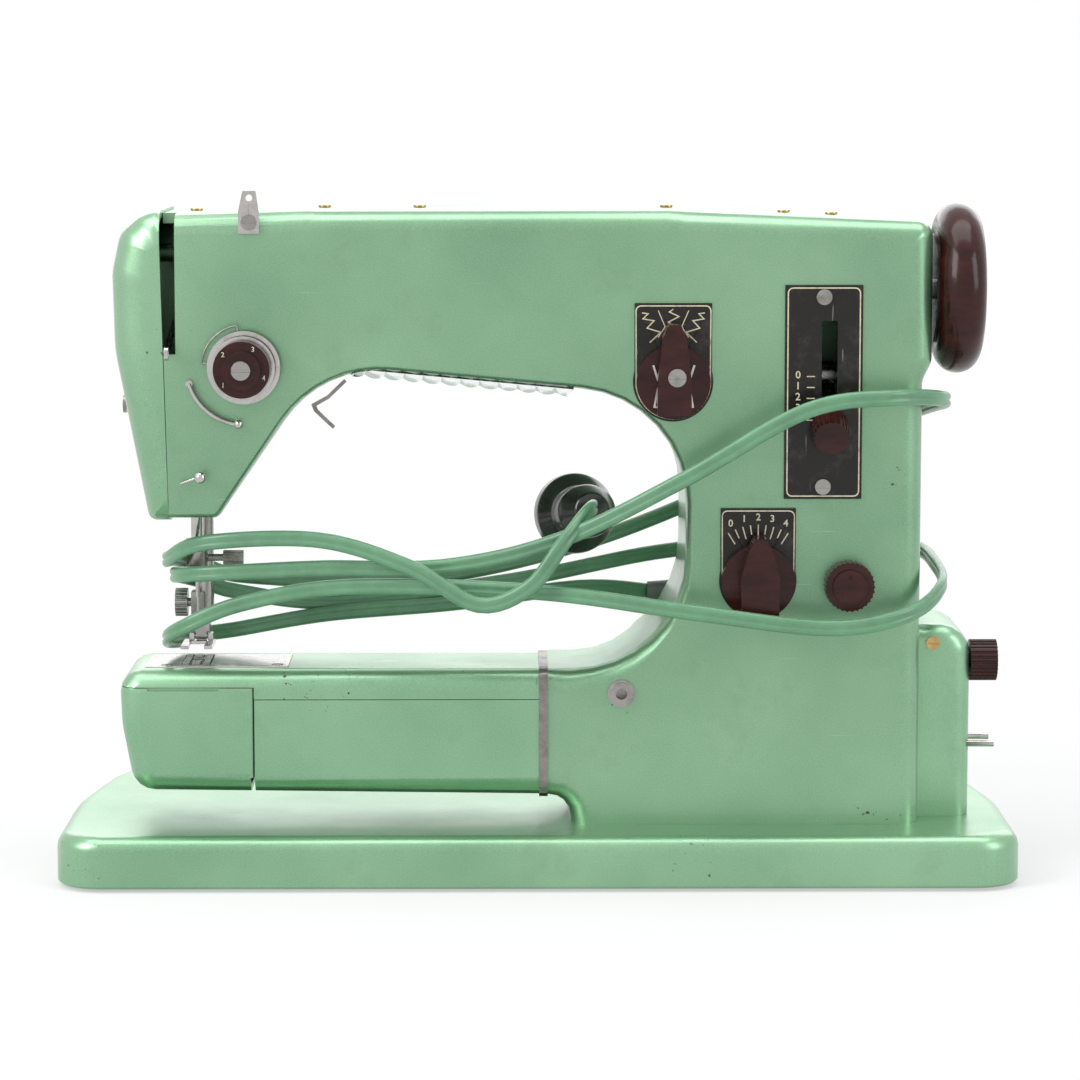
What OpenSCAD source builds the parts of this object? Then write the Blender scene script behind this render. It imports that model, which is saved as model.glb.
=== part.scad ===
// Free-arm sewing machine on its base tray, with its mains lead wound round it.
// Millimetres. X runs along the arm to the right, +Y away from the user, +Z up.
// The origin is on the table, under the middle of the base tray.

/* [Base tray] */
// Width of the base tray
base_w = 420; // [405:1:430]
// Depth of the base tray
base_d = 200; // [196:1:230]
// Height of the tray's top above the table
base_h = 24; // [21:0.5:27]
// Corner radius of the tray in plan, front
base_corner = 21; // [14:1:28]
// Corner radius of the tray in plan, rear
base_rear_corner = 48; // [36:1:60]
// Fillet round the tray's top edge
base_edge = 6.5; // [3:0.5:8]
// Wall of the tray
base_wall = 3.5; // [2.5:0.5:4.5]
// How far the rubber feet stand below the tray's skirt
foot_drop = 1.5; // [1:0.25:2.5]
// Radius of a rubber foot
foot_r = 9; // [7:0.5:11]

/* [Body casting] */
// Distance from the centre plane to the front face
face_y = 70; // [68:0.5:72]
// Depth of the body casting
body_d = 88; // [84:1:94]
// Height of the upper arm's top above the table
body_top = 293; // [290:1:297]
// Wall of the body casting
body_wall = 4.5; // [3.5:0.5:5]
// Fillet of the body's front and rear edges
body_edge = 9; // [6:0.5:10]
// Corner radius of the opening between upper arm and free arm
throat_r = 50; // [44:1:54]
// Width of the slot that the take-up lever moves in
slot_w = 6; // [5:0.5:6.5]

/* [Free arm] */
// Depth of the free arm
arm_d = 62; // [60:0.5:66]
// Height of the free arm's top above the table
arm_top = 92.3; // [91.5:0.1:93]
// Wall of the free arm and its covers
arm_wall = 3; // [2.5:0.25:3.5]
// Fillet of the free arm's long edges
arm_edge = 9; // [6:0.5:10]
// Thickness of the needle plate
plate_t = 1.8; // [1.4:0.1:2.2]

/* [Drive] */
// Radius of the main shaft
shaft_r = 5; // [4:0.25:6]
// Radius of the lower shaft
low_r = 4; // [3.5:0.25:4.5]
// Crank radius, half of the needle bar's stroke
crank_r = 13; // [11:0.5:14]
// Radius of the large timing pulley, twice the small one
timing_r = 18; // [14:1:20]
// Outer radius of the rotary hook
hook_r = 17; // [15:0.5:17.5]
// Radius of the motor
motor_r = 26; // [22:0.5:27]
// Radius of the hand wheel
wheel_r = 37.4; // [34:0.2:38]
// Running clearance of a shaft in its bush, on the radius
run_gap = 0.05; // [0.02:0.01:0.08]

/* [Needle and presser] */
// Radius of the needle bar
nbar_r = 2.75; // [2.25:0.25:3]
// Radius of the presser bar
pbar_r = 3.25; // [2.75:0.25:3.5]
// Height of the needle's tip above the table, near the top of its stroke
needle_tip = 107; // [105:0.5:109]
// Height of the raised presser foot's sole above the table
foot_sole = 99; // [98.5:0.1:100]

/* [Controls] */
// Thickness of the dial plates
dial_t = 1.2; // [0.8:0.1:1.6]
// Radius of the pattern knob
pattern_r = 16; // [14:0.5:16.5]
// Radius of the stitch-width knob
width_r = 16; // [14:0.5:17]
// Radius of the stitch-length knob
stitch_r = 8; // [6:0.5:8.5]
// Radius of the tension dial's chrome cup
tension_r = 15.8; // [13:0.2:16.5]
// Bore radius of the accessory socket
socket_r = 2.5; // [2:0.1:3]

/* [Mains lead] */
// Width of the flat lead
lead_w = 7; // [6:0.5:7.5]
// Thickness of the flat lead
lead_t = 4; // [3:0.5:4.5]

/* [Hidden] */

$fn = 48;
slip = 0.02;          // clearance of pieces that are fixed to each other
gap = 0.3;            // gap between covers and what they move past
body_back = body_d - face_y;
arm_back = arm_d - face_y;
mint = "mediumaquamarine";
brown = "#3b1d14";
steel = "silver";

// Places, as X and Z, or as heights
sew_x = -151;         // the needle
sew_y = -38;          // needle, shafts and motor lie in one plane
presser_x = -148.5;
presser_y = -19;
shaft_z = 258;
low_z = 62;
seam_x = -162;        // middle of the face cover's seam
seam_lean = 1.5;      // how far the seam leans either way
head_z = 159.1;       // underside of the head
body_right = 167.5;
neck_right = 171.5;
throat_right = 64.5;
ring_x = 4.3;         // where the body meets the free arm's ring
ring_t = 3.9;
foot_x = 14;          // left side of the body's foot
arm_left = -183.8;
arm_low = 36;
cover_x = -124.4;     // seam between the two lower covers
cover_y = -24;        // rear edge of the lower covers
pattern_at = [58.5, 219.2];
stitch_at = [123.7, 214.6];
width_at = [95.8, 132.2];
feed_at = [135.4, 130.3];
tension_at = [-127, 225.8];
socket_at = [36.4, 82.4];
web_a = -131;         // left face of the head's bearing web
web_b = 96.5;         // left face of the pillar's bearing web
web_t = 4;
belt_x = web_b - 12.5; // left face of the timing belt
belt_w = 8;
drive_x = web_b + 6.5; // left face of the motor belt
drive_w = 6;
drive_r = 22;
motor_pulley_r = 7;

// ---------- outlines and shells ----------

// Corner i of a closed outline [x, z, radius, edge weight], each edge moved inwards by d times its weight
function unit(v) = v / norm(v);
function left_of(v) = [-v[1], v[0]];
function edge_dir(c, i) = unit([c[(i + 1) % len(c)][0] - c[i][0], c[(i + 1) % len(c)][1] - c[i][1]]);
function cross2(a, b) = a[0] * b[1] - a[1] * b[0];
function moved(c, i, d) =
  let (n = len(c), h = (i + n - 1) % n, a = edge_dir(c, h), b = edge_dir(c, i),
    p = [c[i][0], c[i][1]] + left_of(a) * d * c[h][3],
    q = [c[i][0], c[i][1]] + left_of(b) * d * c[i][3],
    t = cross2(q - p, b) / cross2(a, b))
  p + a * t;
// Steps of a rounded corner, fewer where its radius is small or it is cut away later
function arc_steps(r) = r < 20 ? 4 : r < 100 ? 8 : 3;
function corner_arc(c, i, d) =
  let (n = len(c), steps = arc_steps(c[i][2]), h = (i + n - 1) % n, a = edge_dir(c, h), b = edge_dir(c, i),
    turn = cross2(a, b) > 0 ? 1 : -1,
    r = max(0.4, c[i][2] - turn * d * (c[h][3] + c[i][3]) / 2),
    bend = acos(max(-1, min(1, a * b))),
    p = moved(c, i, d), start = p - a * r * tan(bend / 2),
    mid = start + left_of(a) * turn * r, from = start - mid)
  c[i][2] == 0 ? [p] : [for (k = [0:steps]) let (g = turn * bend * k / steps)
    mid + [from[0] * cos(g) - from[1] * sin(g), from[0] * sin(g) + from[1] * cos(g)]];
function outline(c, d) = [for (i = [0:len(c) - 1]) each corner_arc(c, i, d)];
// The same outline for a cavity of even wall: edges of weight 0 move outwards, so it opens there
function even(c) = [for (p = c) [p[0], p[1], p[2], p[3] > 0 ? 1 : -1]];
// Heights and insets of the lower and of the upper fillet of a wall, radius r
fillet_n = 4;
function low_fillet(z0, r) = [for (k = [0:fillet_n]) let (a = 90 * k / fillet_n)
  [z0 + r * (1 - cos(a)), r * (1 - sin(a))]];
function high_fillet(z1, r) = [for (k = [0:fillet_n]) let (a = 90 * k / fillet_n)
  [z1 - r * (1 - sin(a)), r * (1 - cos(a))]];

// Triangles that fill the outline p, for the flat ends of a shell
function in_tri(q, a, b, c) = cross2(b - a, q - a) > -0.00001 && cross2(c - b, q - b) > -0.00001
  && cross2(a - c, q - c) > -0.00001;
function is_ear(p, l, i) = let (n = len(l), h = (i + n - 1) % n, j = (i + 1) % n, a = p[l[h]], b = p[l[i]], c = p[l[j]])
  cross2(b - a, c - b) > 0.0001 && len([for (k = [0:n - 1]) if (k != h && k != i && k != j
    && in_tri(p[l[k]], a, b, c)) 1]) == 0;
function next_ear(p, l, i) = is_ear(p, l, i) || i >= len(l) - 1 ? i : next_ear(p, l, i + 1);
function fill(p, l) = len(l) == 3 ? [l] : let (n = len(l), i = next_ear(p, l, 0))
  concat([[l[(i + n - 1) % n], l[i], l[(i + 1) % n]]], fill(p, [for (k = [0:n - 1]) if (k != i) l[k]]));

// Shell through rings of the outline c, at the heights and insets of profile
module skin(c, profile) {
  rings = [for (s = profile) [for (p = outline(c, s[1])) [p[0], p[1], s[0]]]];
  m = len(rings[0]);
  k_end = len(rings) - 1;
  polyhedron(points = [for (r = rings) each r], faces = concat(
    fill(outline(c, profile[0][1]), [for (i = [0:m - 1]) i]),
    [for (t = fill(outline(c, profile[k_end][1]), [for (i = [0:m - 1]) i])) [for (i = [2:-1:0]) k_end * m + t[i]]],
    [for (k = [0:k_end - 1], i = [0:m - 1]) let (j = (i + 1) % m)
      [k * m + i, (k + 1) * m + i, (k + 1) * m + j]],
    [for (k = [0:k_end - 1], i = [0:m - 1]) let (j = (i + 1) % m)
      [k * m + i, (k + 1) * m + j, k * m + j]]), convexity = 10);
}

// Cavity of even wall w inside a shell whose fillets have radius r, from y0 (rear) to y1 (front)
module hollow(c, y0, y1, r, w) {
  stand() skin(even(c), concat([for (s = low_fillet(w - y0, r - w)) [s[0], s[1] + w]],
    [for (s = high_fillet(-y1 - w, r - w)) [s[0], s[1] + w]]));
}
// Turns a shape drawn in the XY plane to stand in XZ, its height running towards the user
module stand() { rotate([90, 0, 0]) children(); }
// A shape's own Z axis laid along X, from the point x, y, z
module along_x(x, y, z) { translate([x, y, z]) rotate([0, 90, 0]) children(); }
// A shape's own Z axis laid towards the user, from the point x, y, z
module facing(x, y, z) { translate([x, y, z]) rotate([90, 0, 0]) children(); }
// A box from one corner to the other
module slab(a, b) { translate(a) cube(b - a); }
// A round rod along X, from x0 to x1
module rod_x(x0, x1, y, z, r) { along_x(x0, y, z) cylinder(h = x1 - x0, r = r); }
// A round rod along Y, from y0 (rear) to y1 (front)
module rod_y(x, y0, y1, z, r) { facing(x, y0, z) cylinder(h = y0 - y1, r = r); }
// A round rod along Z
module rod_z(x, y, z0, z1, r) { translate([x, y, z0]) cylinder(h = z1 - z0, r = r); }
// A slotted screw whose head stands h high on z = 0, with its shank below
module screw(r, h, shank_r, shank) {
  difference() {
    cylinder(h = h, r = r);
    translate([-r - 1, -0.12 * r - 0.2, h * 0.45]) cube([2 * r + 2, 0.24 * r + 0.4, h]);
  }
  translate([0, 0, -shank]) cylinder(h = shank + h * 0.2, r = shank_r);
}
// A ribbed grip: a disc with n round ribs standing out by rib
module ribbed(r, h, n, rib) {
  cylinder(h = h, r = r - rib);
  for (k = [0:n - 1]) rotate([0, 0, k * 360 / n]) translate([r - rib, 0, 0]) cylinder(h = h, r = rib, $fn = 24);
}

// ---------- base tray ----------

skirt_z = foot_drop;
function base_plan() = [
  [-base_w / 2, -base_d / 2, base_corner, 1],
  [base_w / 2, -base_d / 2, base_corner, 1],
  [base_w / 2, -base_d * 0.05, 200, 1],
  [base_w / 2 - 9, base_d * 0.27, 120, 1],
  [base_w / 2 - 30, base_d / 2, base_rear_corner, 1],
  [-base_w / 2 + 30, base_d / 2, base_rear_corner, 1],
  [-base_w / 2 + 9, base_d * 0.27, 120, 1],
  [-base_w / 2, -base_d * 0.05, 200, 1]];
foot_at = [for (sx = [-1, 1], sy = [-1, 1]) [sx * (base_w / 2 - 34), sy * (base_d / 2 - 30)]];

module base() {
  color(mint) difference() {
    skin(base_plan(), concat([[skirt_z, 1.2], [skirt_z + 1.2, 0]], high_fillet(base_h, base_edge)));
    difference() {
      translate([0, 0, -1]) linear_extrude(base_h - base_wall + 1) polygon(outline(base_plan(), base_wall + 1));
      for (p = foot_at) translate([p[0], p[1], skirt_z + 1]) cylinder(h = base_h, r = foot_r - 2);
    }
    for (p = foot_at) translate([p[0], p[1], -1]) cylinder(h = 9, r = 2.5);
  }
}
module base_feet() {
  color("dimgray") for (p = foot_at) translate([p[0], p[1], 0]) {
    cylinder(h = skirt_z + 1 - slip, r = foot_r);
    cylinder(h = 7, r = 2.5 - slip);
  }
}

// ---------- body casting ----------

function body_outline() = [
  [foot_x, base_h, 0, 0],
  [body_right, base_h, 0, 1],
  [body_right, 219, 10, 1],
  [neck_right, 227, 10, 1],
  [neck_right, body_top - 5, 7, 1],
  [60, body_top, 150, 1],
  [-98, body_top, 150, 1],
  [seam_at(top_at(seam_x)), top_at(seam_x), 0, 0],
  [seam_at(head_z), head_z, 0, 0.35],
  [-139.6, head_z, 4, 0.35],
  [-93.5, 226, throat_r, 0.35],
  [throat_right, 211.2, throat_r, 0.35],
  [throat_right, arm_top, throat_r, 1],
  [ring_x, arm_top, 0, 0],
  [ring_x, arm_low, 0, 1],
  [foot_x, arm_low, 9, 1]];
// Height of the upper arm's top at x, clear of its end
function top_at(x) = x > 60 ? body_top - 5 * (x - 60) / (neck_right - 60) : x < -98 ? body_top - 2.4 * (-98 - x) / 92 : body_top;
function seam_at(z) = seam_x - seam_lean + 2 * seam_lean * (body_top - z) / (body_top - head_z);
// Height of the upper arm's underside at x, over the lamp
function under_at(x) = 226 - (x + 93.5) * (226 - 211.2) / (throat_right + 93.5);

// Everything left of the face cover's seam, moved right by d
module left_of_seam(d) {
  translate([0, 100, 0]) stand() linear_extrude(200)
    polygon([[-260, 100], [seam_at(100) + d, 100], [seam_at(320) + d, 320], [-260, 320]]);
}
// Hollow behind the lower left of the body, where the free arm leaves it
module rear_relief(d) {
  r = relief_r + d;
  translate([0, 0, -20]) linear_extrude(132 + 20) polygon(concat(
    [[-60, 60], [-60, arm_back - d]],
    [for (k = [0:6]) let (g = 15 * k) [relief_x + d - r + r * sin(g), arm_back - d + r - r * cos(g)]],
    [[relief_x + d, 60]]));
}
relief_x = 46;
relief_r = 25;
module body_webs() {
  slab([web_a, -face_y + body_wall - 1, 232], [web_a + web_t + 1, body_back - body_wall + 1, body_top - body_wall + 0.5]);
  slab([web_b, -face_y + body_wall - 1, base_h + 20], [web_b + web_t, body_back - body_wall + 1, body_top - body_wall + 0.5]);
}
module head_bracket() {
  slab([sew_x - 5, sew_y - 6, 224], [sew_x + 4.4, -28, 232]);
  slab([sew_x - 5, -28.5, 224], [presser_x + 6.5, body_back - body_wall + 1, 232]);
}
module body() {
  color(mint) union() {
    difference() {
      stand() skin(body_outline(), concat(low_fillet(-body_back, body_edge), high_fillet(face_y, body_edge)));
      difference() {
        stand() translate([0, 0, -body_back + body_wall]) linear_extrude(body_d - 2 * body_wall)
          polygon(outline(even(body_outline()), body_wall));
        rear_relief(body_wall);
        body_webs();
        head_bracket();
      }
      rear_relief(0);
      // slot of the take-up lever
      slab([-180, -100, 231], [seam_x - seam_lean + slot_w + 0.6, -50, body_top + 10]);
      // shaft bores
      rod_x(web_a - 1, web_a + web_t + 2, sew_y, shaft_z, shaft_r + 3);
      rod_x(web_b - 1, web_b + web_t + 1, sew_y, shaft_z, shaft_r + 3);
      rod_x(web_b - 1, web_b + web_t + 1, sew_y, low_z, low_r + 3);
      rod_x(body_right - body_wall - 5, neck_right + 5, sew_y, shaft_z, shaft_r + 3);
      rod_x(body_right - body_wall - 5, neck_right + 5, motor_y, motor_z, motor_r + 1.5);
      // needle bar and presser bar
      rod_z(sew_x, sew_y, head_z - 5, 240, nbar_r + bush_t);
      rod_z(presser_x, presser_y, head_z - 5, 240, pbar_r + bush_t);
      // controls on the front face
      rod_y(tension_at[0], -50, -80, tension_at[1], 2.5);
      rod_y(pattern_at[0], -50, -80, pattern_at[1], 3 + run_gap);
      rod_y(width_at[0], -50, -80, width_at[1], 3 + run_gap);
      rod_y(feed_at[0], -50, -80, feed_at[1], 3 + run_gap);
      slab([stitch_at[0] - 1.2, -80, 190], [stitch_at[0] + 6.3, -60, 246]);
      // wires, guides and screws
      rod_y(socket_at[0], -60, -80, socket_at[1], socket_r + 1.2 + slip);
      rod_y(-150.8, -64, -80, 218.6, 1.5 + slip);
      rod_y(-146, -64, -80, 178.4, 1.2 + slip);
      rod_y(-124.7, -65.8, -80, 288, 1.5 + slip);
      for (z = stitch_screw_z) rod_y(stitch_at[0], -60, -80, z, 1.8 + slip);
      rod_y(80, 30, 10, cord_exit[2], 5);
      // lamp window and lifter slot
      slab([lens_x0 + 2, lens_front + 2, 200], [lens_x1 - 2, lens_back - 2, 232]);
      slab([-153, 6, 140], [-143.5, 30, 192]);
      for (x = oil_x) rod_z(x, oil_y, 270, 310, 1.8 + slip);
      for (p = cover_screw_at) rod_x(seam_x - 1, seam_x + 14, p[0], p[1], 1.5 + slip);
    }
    // studs of the take-up lever, the presser lifter and the stitch lever
    rod_x(seam_x + 0.8, web_a + 1, -8, 250, 3);
    rod_x(-153.8, -131.5, lifter_at[0], lifter_at[1], 2.5);
    rod_x(120, body_right - 1, stitch_pivot[0], stitch_pivot[1], 3);
    // lug for the motor cover's screw
    difference() {
      slab([body_right - 1, motor_front + motor_wall + 2.8, 98], [177.6, -42, 106]);
      rod_y(cover_pin[0], -30, -60, cover_pin[1], 1.3 + slip);
    }
    // lugs for the face cover's screws
    for (p = cover_screw_at) difference() {
      slab([seam_x + 4.5, p[0] - 5, p[1] - 5], [seam_x + 14, body_back - body_wall + 1, p[1] + 5]);
      rod_x(seam_x - 1, seam_x + 12, p[0], p[1], 1.5 + slip);
    }
  }
}
stitch_pivot = [-37, 219];
stitch_screw_z = [255.8, 173.4];
lifter_at = [0, 176];
lift_z = 187;         // underside of the presser bar's lug, foot raised
lens_x0 = -84;
lens_x1 = 16;
lens_front = -66;
lens_back = -28;
oil_x = [-150.5, -94, -52, 57, 109, 130];
oil_y = -27;
cover_screw_at = [[-4, 272], [-4, 204]];
cover_pin = [174.6, 102];

module arm_joint_ring() {
  color(steel) difference() {
    intersection() {
      stand() skin(arm_outline(-1), concat(low_fillet(-arm_back - 1, arm_edge), high_fillet(face_y + 1, arm_edge)));
      slab([ring_x - ring_t, -100, 0], [ring_x - slip, 20, 120]);
    }
    translate([0, -face_y + 7, 0]) stand() translate([0, 0, -arm_d + 14]) linear_extrude(arm_d - 14) polygon(outline(even(arm_outline(0)), 7));
  }
}

// ---------- free arm ----------

// Outline of the free arm, moved inwards by d, running on to the right for a plane cut
function arm_outline(d) = [
  [arm_left + 6.3 + d, arm_low + 2.4 + d, 11, 1],
  [20, arm_low + d, 0.5, 0],
  [20, arm_top - d, 0.5, 1],
  [arm_left + d, arm_top - d, 10, 1],
  [arm_left + 0.8 + d, 68, 60, 1]];
module arm_solid() {
  intersection() {
    stand() skin(arm_outline(0), concat(low_fillet(-arm_back, arm_edge), high_fillet(face_y, arm_edge)));
    slab([-200, -100, 0], [ring_x - ring_t - slip, 20, 120]);
  }
}
module arm_cavity() { hollow(arm_outline(0), arm_back, -face_y, arm_edge, arm_wall); }
seam_left_z = 85;
seam_right_z = 79.8;
// The space of the two lower covers, shrunk by d
module cover_space(x0, x1, z1, d) {
  slab([x0 + d, -100, 0], [x1 - d, cover_y - d, z1 - d]);
}
barrel_r = 1.6;
barrel_x = cover_x - barrel_r - gap / 2;
barrel_y = -face_y + barrel_r;
plate_z = arm_top + 0.5 - plate_t;
plate_x0 = -173;
plate_x1 = -110;
plate_y0 = -59;
plate_y1 = -23;
plate_screw_at = [[-163.5, -54.5], [-115, -53]];
dog_rows = [[-157, -154], [-153, -149], [-148, -145]];

module free_arm() {
  color(mint) union() {
    difference() {
      arm_solid();
      difference() {
        arm_cavity();
        rod_z(barrel_x, barrel_y, seam_left_z + gap, arm_top, 3);
        slab([barrel_x - 8, -face_y + 1, seam_left_z + gap], [barrel_x + 6, -60, arm_top]);
      }
      cover_space(-200, cover_x, seam_left_z, 0);
      cover_space(cover_x - 0.01, 20, seam_right_z, 0);
      // needle plate's seat and the feed window
      slab([plate_x0 - 0.1, plate_y0 - 0.1, plate_z - slip], [plate_x1 + 0.1, plate_y1 + 0.1, 120]);
      slab([-161, -56, 80], [-141, -24.5, 120]);
      for (p = plate_screw_at) rod_z(p[0], p[1], 80, 120, 1.2 + slip);
      rod_z(barrel_x, barrel_y, 80, seam_left_z + gap + 1.3, 0.6 + run_gap);
    }
    // bearing webs of the lower shaft
    difference() {
      for (x = arm_web_x) slab([x, -56, 50], [x + arm_web_t, arm_back - 1, arm_top - arm_wall + 0.5]);
      for (x = arm_web_x) rod_x(x - 2, x + arm_web_t + 2, sew_y, low_z, low_r + 3);
      rod_z(-131, -50, 60, 84, 1.5 + run_gap);
      slab([-162, -57, 81.4], [-128.2, -45, 87.6]);
    }
  }
}
arm_web_x = [-134, -40];
arm_web_t = 6;
module arm_front_cover() {
  color(mint) difference() {
    arm_solid();
    arm_cavity();
    slab([-200, -100, 0], [cover_x + gap / 2, 60, 120]);
    slab([-200, cover_y - gap, 0], [60, 60, 120]);
    slab([-200, -100, seam_right_z - gap], [60, 60, 120]);
    rod_z(barrel_x, barrel_y, 0, 120, barrel_r + gap);
  }
}
module shuttle_cover() {
  color(mint) {
    difference() {
      arm_solid();
      arm_cavity();
      slab([barrel_x, -100, 0], [60, 60, 120]);
      slab([-200, cover_y - gap, 0], [60, 60, 120]);
      slab([-200, -100, seam_left_z - gap], [60, 60, 120]);
      // finger notch
      slab([-171, -100, seam_left_z - gap - 1.2], [-140, -face_y + 1.2, 120]);
    }
    difference() {
      rod_z(barrel_x, barrel_y, arm_low + 9, seam_left_z - gap, barrel_r);
      slab([barrel_x - 3, barrel_y, 0], [barrel_x, 0, 120]);
    }
    rod_z(barrel_x, barrel_y, seam_left_z - gap - 1, seam_left_z + gap + 1.1, 0.6);
  }
}

module needle_plate() {
  color(steel) difference() {
    slab([plate_x0, plate_y0, plate_z], [plate_x1, plate_y1, plate_z + plate_t]);
    slab([dog_rows[0][0] - 0.4, -53.4, 80], [dog_rows[0][1] + 0.4, -24.6, 100]);
    slab([dog_rows[2][0] - 0.4, -53.4, 80], [dog_rows[2][1] + 0.4, -24.6, 100]);
    slab([dog_rows[1][0] - 0.2, -53.4, 80], [dog_rows[1][1] + 0.2, -43, 100]);
    slab([dog_rows[1][0] - 0.2, -33, 80], [dog_rows[1][1] + 0.2, -24.6, 100]);
    slab([sew_x - 3, sew_y - 1.1, 80], [sew_x + 3, sew_y + 1.1, 100]);
    for (p = plate_screw_at) {
      rod_z(p[0], p[1], 80, 100, 1.2 + slip);
      rod_z(p[0], p[1], plate_z + plate_t - 0.9, 100, 2.6);
    }
  }
}
dog_top = plate_z + plate_t + 0.3;
module feed_dog() {
  color(steel) {
    difference() {
      slab([-160, -55, 84.2], [-142, -25.5, 86.6]);
      slab([sew_x - 4.2, sew_y - 3, 80], [sew_x + 4.2, sew_y + 3, 100]);
    }
    for (r = [dog_rows[0], dog_rows[2]]) slab([r[0], -53, 86], [r[1], -25, dog_top]);
    for (y = [[-53, -43.4], [-32.6, -25]]) slab([dog_rows[1][0] + 0.2, y[0], 86], [dog_rows[1][1] - 0.2, y[1], dog_top]);
    slab([-142.5, -53, 84.2], [-128.5, -47, 86.6]);
    rod_z(-131, -50, 68, 85, 1.5);
  }
}

// ---------- head: covers, needle and presser ----------

function face_outline() = [
  [-170.2, head_z - 1.7, 4, 1],
  [-130, head_z - 1.7, 0.5, 0],
  [-130, body_top + 0.2, 0.5, 1],
  [-171, body_top - 0.6, 14, 1],
  [-181.5, 283, 12, 1],
  [-185.2, 266, 25, 1],
  [-184.4, 232, 60, 1]];
face_edge = 14;
face_wall = 3;
module face_cover() {
  color(mint) difference() {
    stand() skin(face_outline(), concat(low_fillet(-body_back, face_edge), high_fillet(face_y, face_edge)));
    hollow(face_outline(), body_back, -face_y, face_edge, face_wall);
    difference() {
      slab([-260, -100, 100], [-100, 60, 330]);
      left_of_seam(-gap);
    }
    for (p = cover_screw_at) rod_x(-200, -150, p[0], p[1], 1.6);
  }
  // bosses that the screws pull against the body's lugs
  color(mint) for (p = cover_screw_at) difference() {
    rod_x(-183, seam_x + 4.4, p[0], p[1], 4);
    rod_x(-200, -150, p[0], p[1], 1.6);
    slab([-260, -100, 100], [-182.4, 60, 330]);
  }
}
module cover_screws() {
  color(steel) {
    for (p = cover_screw_at) translate([-184.8, p[0], p[1]]) rotate([0, -90, 0]) screw(4, 1.6, 1.5, 30);
    facing(cover_pin[0], motor_front - 0.02, cover_pin[1]) screw(3, 1.4, 1.3, 7);
    for (z = stitch_screw_z) facing(stitch_at[0], -face_y - dial_t, z) screw(3.4, 1.3, 1.8, 6);
    for (p = plate_screw_at) translate([p[0], p[1], plate_z + plate_t - 0.88]) screw(2.5, 1, 1.2, 3);
    facing(-124.7, -face_y - 1.6, 288) screw(3.4, 1.8, 1.5, 5);
  }
}
module thread_guide() {
  color(steel) difference() {
    translate([0, -face_y - 0.1, 0]) stand() linear_extrude(1.5) polygon([[-129.2, 283.2], [-120.2, 283.2], [-120.2, 292.6],
      [-121.6, 301.6], [-127.2, 301.6], [-129.2, 292.6]]);
    rod_y(-124.4, -60, -80, 298.6, 1.4);
    rod_y(-124.7, -60, -80, 288, 1.5 + slip);
  }
}
module oil_caps() {
  color("darkgoldenrod") for (x = oil_x) translate([x, oil_y, top_at(x)]) {
    translate([0, 0, 0.15]) cylinder(h = 0.9, r = 2.8);
    translate([0, 0, -3]) cylinder(h = 3.5, r = 1.8);
  }
}
module tension_cup() {
  color(steel) {
    facing(tension_at[0], -face_y - slip, tension_at[1]) difference() {
      union() {
        cylinder(h = 3, r = tension_r - 2);
        translate([0, 0, 3]) cylinder(h = 1.5, r = tension_r);
        translate([0, 0, 6]) cylinder(h = 1.5, r = tension_r);
        translate([0, 0, 4]) cylinder(h = 7, r = tension_r - 4);
        translate([0, 0, 10]) cylinder(h = 3, r = tension_r - 2);
      }
      translate([0, 0, 12]) cylinder(h = 9, r = tension_r - 3.2);
    }
    rod_y(tension_at[0], -60, -90, tension_at[1], 2.5 - slip);
  }
}
module tension_dial() {
  color(brown) facing(tension_at[0], -face_y - 12.4, tension_at[1]) difference() {
    union() {
      cylinder(h = 9, r = tension_r - 3.6);
      translate([0, 0, 9]) cylinder(h = 2.6, r = tension_r - 7.5);
    }
    translate([0, 0, -1]) cylinder(h = 9, r = 2.5 + run_gap);
  }
  color(steel) facing(tension_at[0], -face_y - 24, tension_at[1]) screw(4.1, 2, 1, 0);
}
module wire_arc(at, r, a0, a1, y, wire) {
  facing(at[0], y, at[1]) rotate([0, 0, a0]) rotate_extrude(angle = a1 - a0) translate([r, 0]) circle(r = wire, $fn = 24);
}
module check_spring() {
  color(steel) {
    wire_arc(tension_at, tension_r + 2.4, 100, 175, -75.27, 0.45);
    facing(tension_at[0], -75.27, tension_at[1]) rotate([0, 0, 100]) translate([tension_r + 2.4, 0, 0])
      rotate([0, -90, 0]) cylinder(h = 5, r = 0.45);
    facing(tension_at[0], -75.27, tension_at[1]) rotate([0, 0, 175]) translate([tension_r + 2.4, 0, 0])
      rotate([0, -90, 0]) cylinder(h = 6.2, r = 0.45);
  }
}
module thread_guard() {
  color(steel) {
    wire_arc(tension_at, 24.9, 196.8, 264, -74, 1.1);
    rod_y(-150.8, -64.5, -74.6, 218.6, 1.5);
    facing(tension_at[0], -74, tension_at[1]) rotate([0, 0, 264]) translate([24.9, 0, 0]) sphere(r = 2);
  }
}
module thread_pin() {
  color(steel) {
    rod_y(-146, -64.5, -79, 178.4, 1.2);
    translate([-146, -79.5, 178.4]) sphere(r = 2.6);
    translate([-146, -73, 178.4]) rotate([0, -111, 0]) cylinder(h = 9.5, r = 0.6);
  }
}

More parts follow.
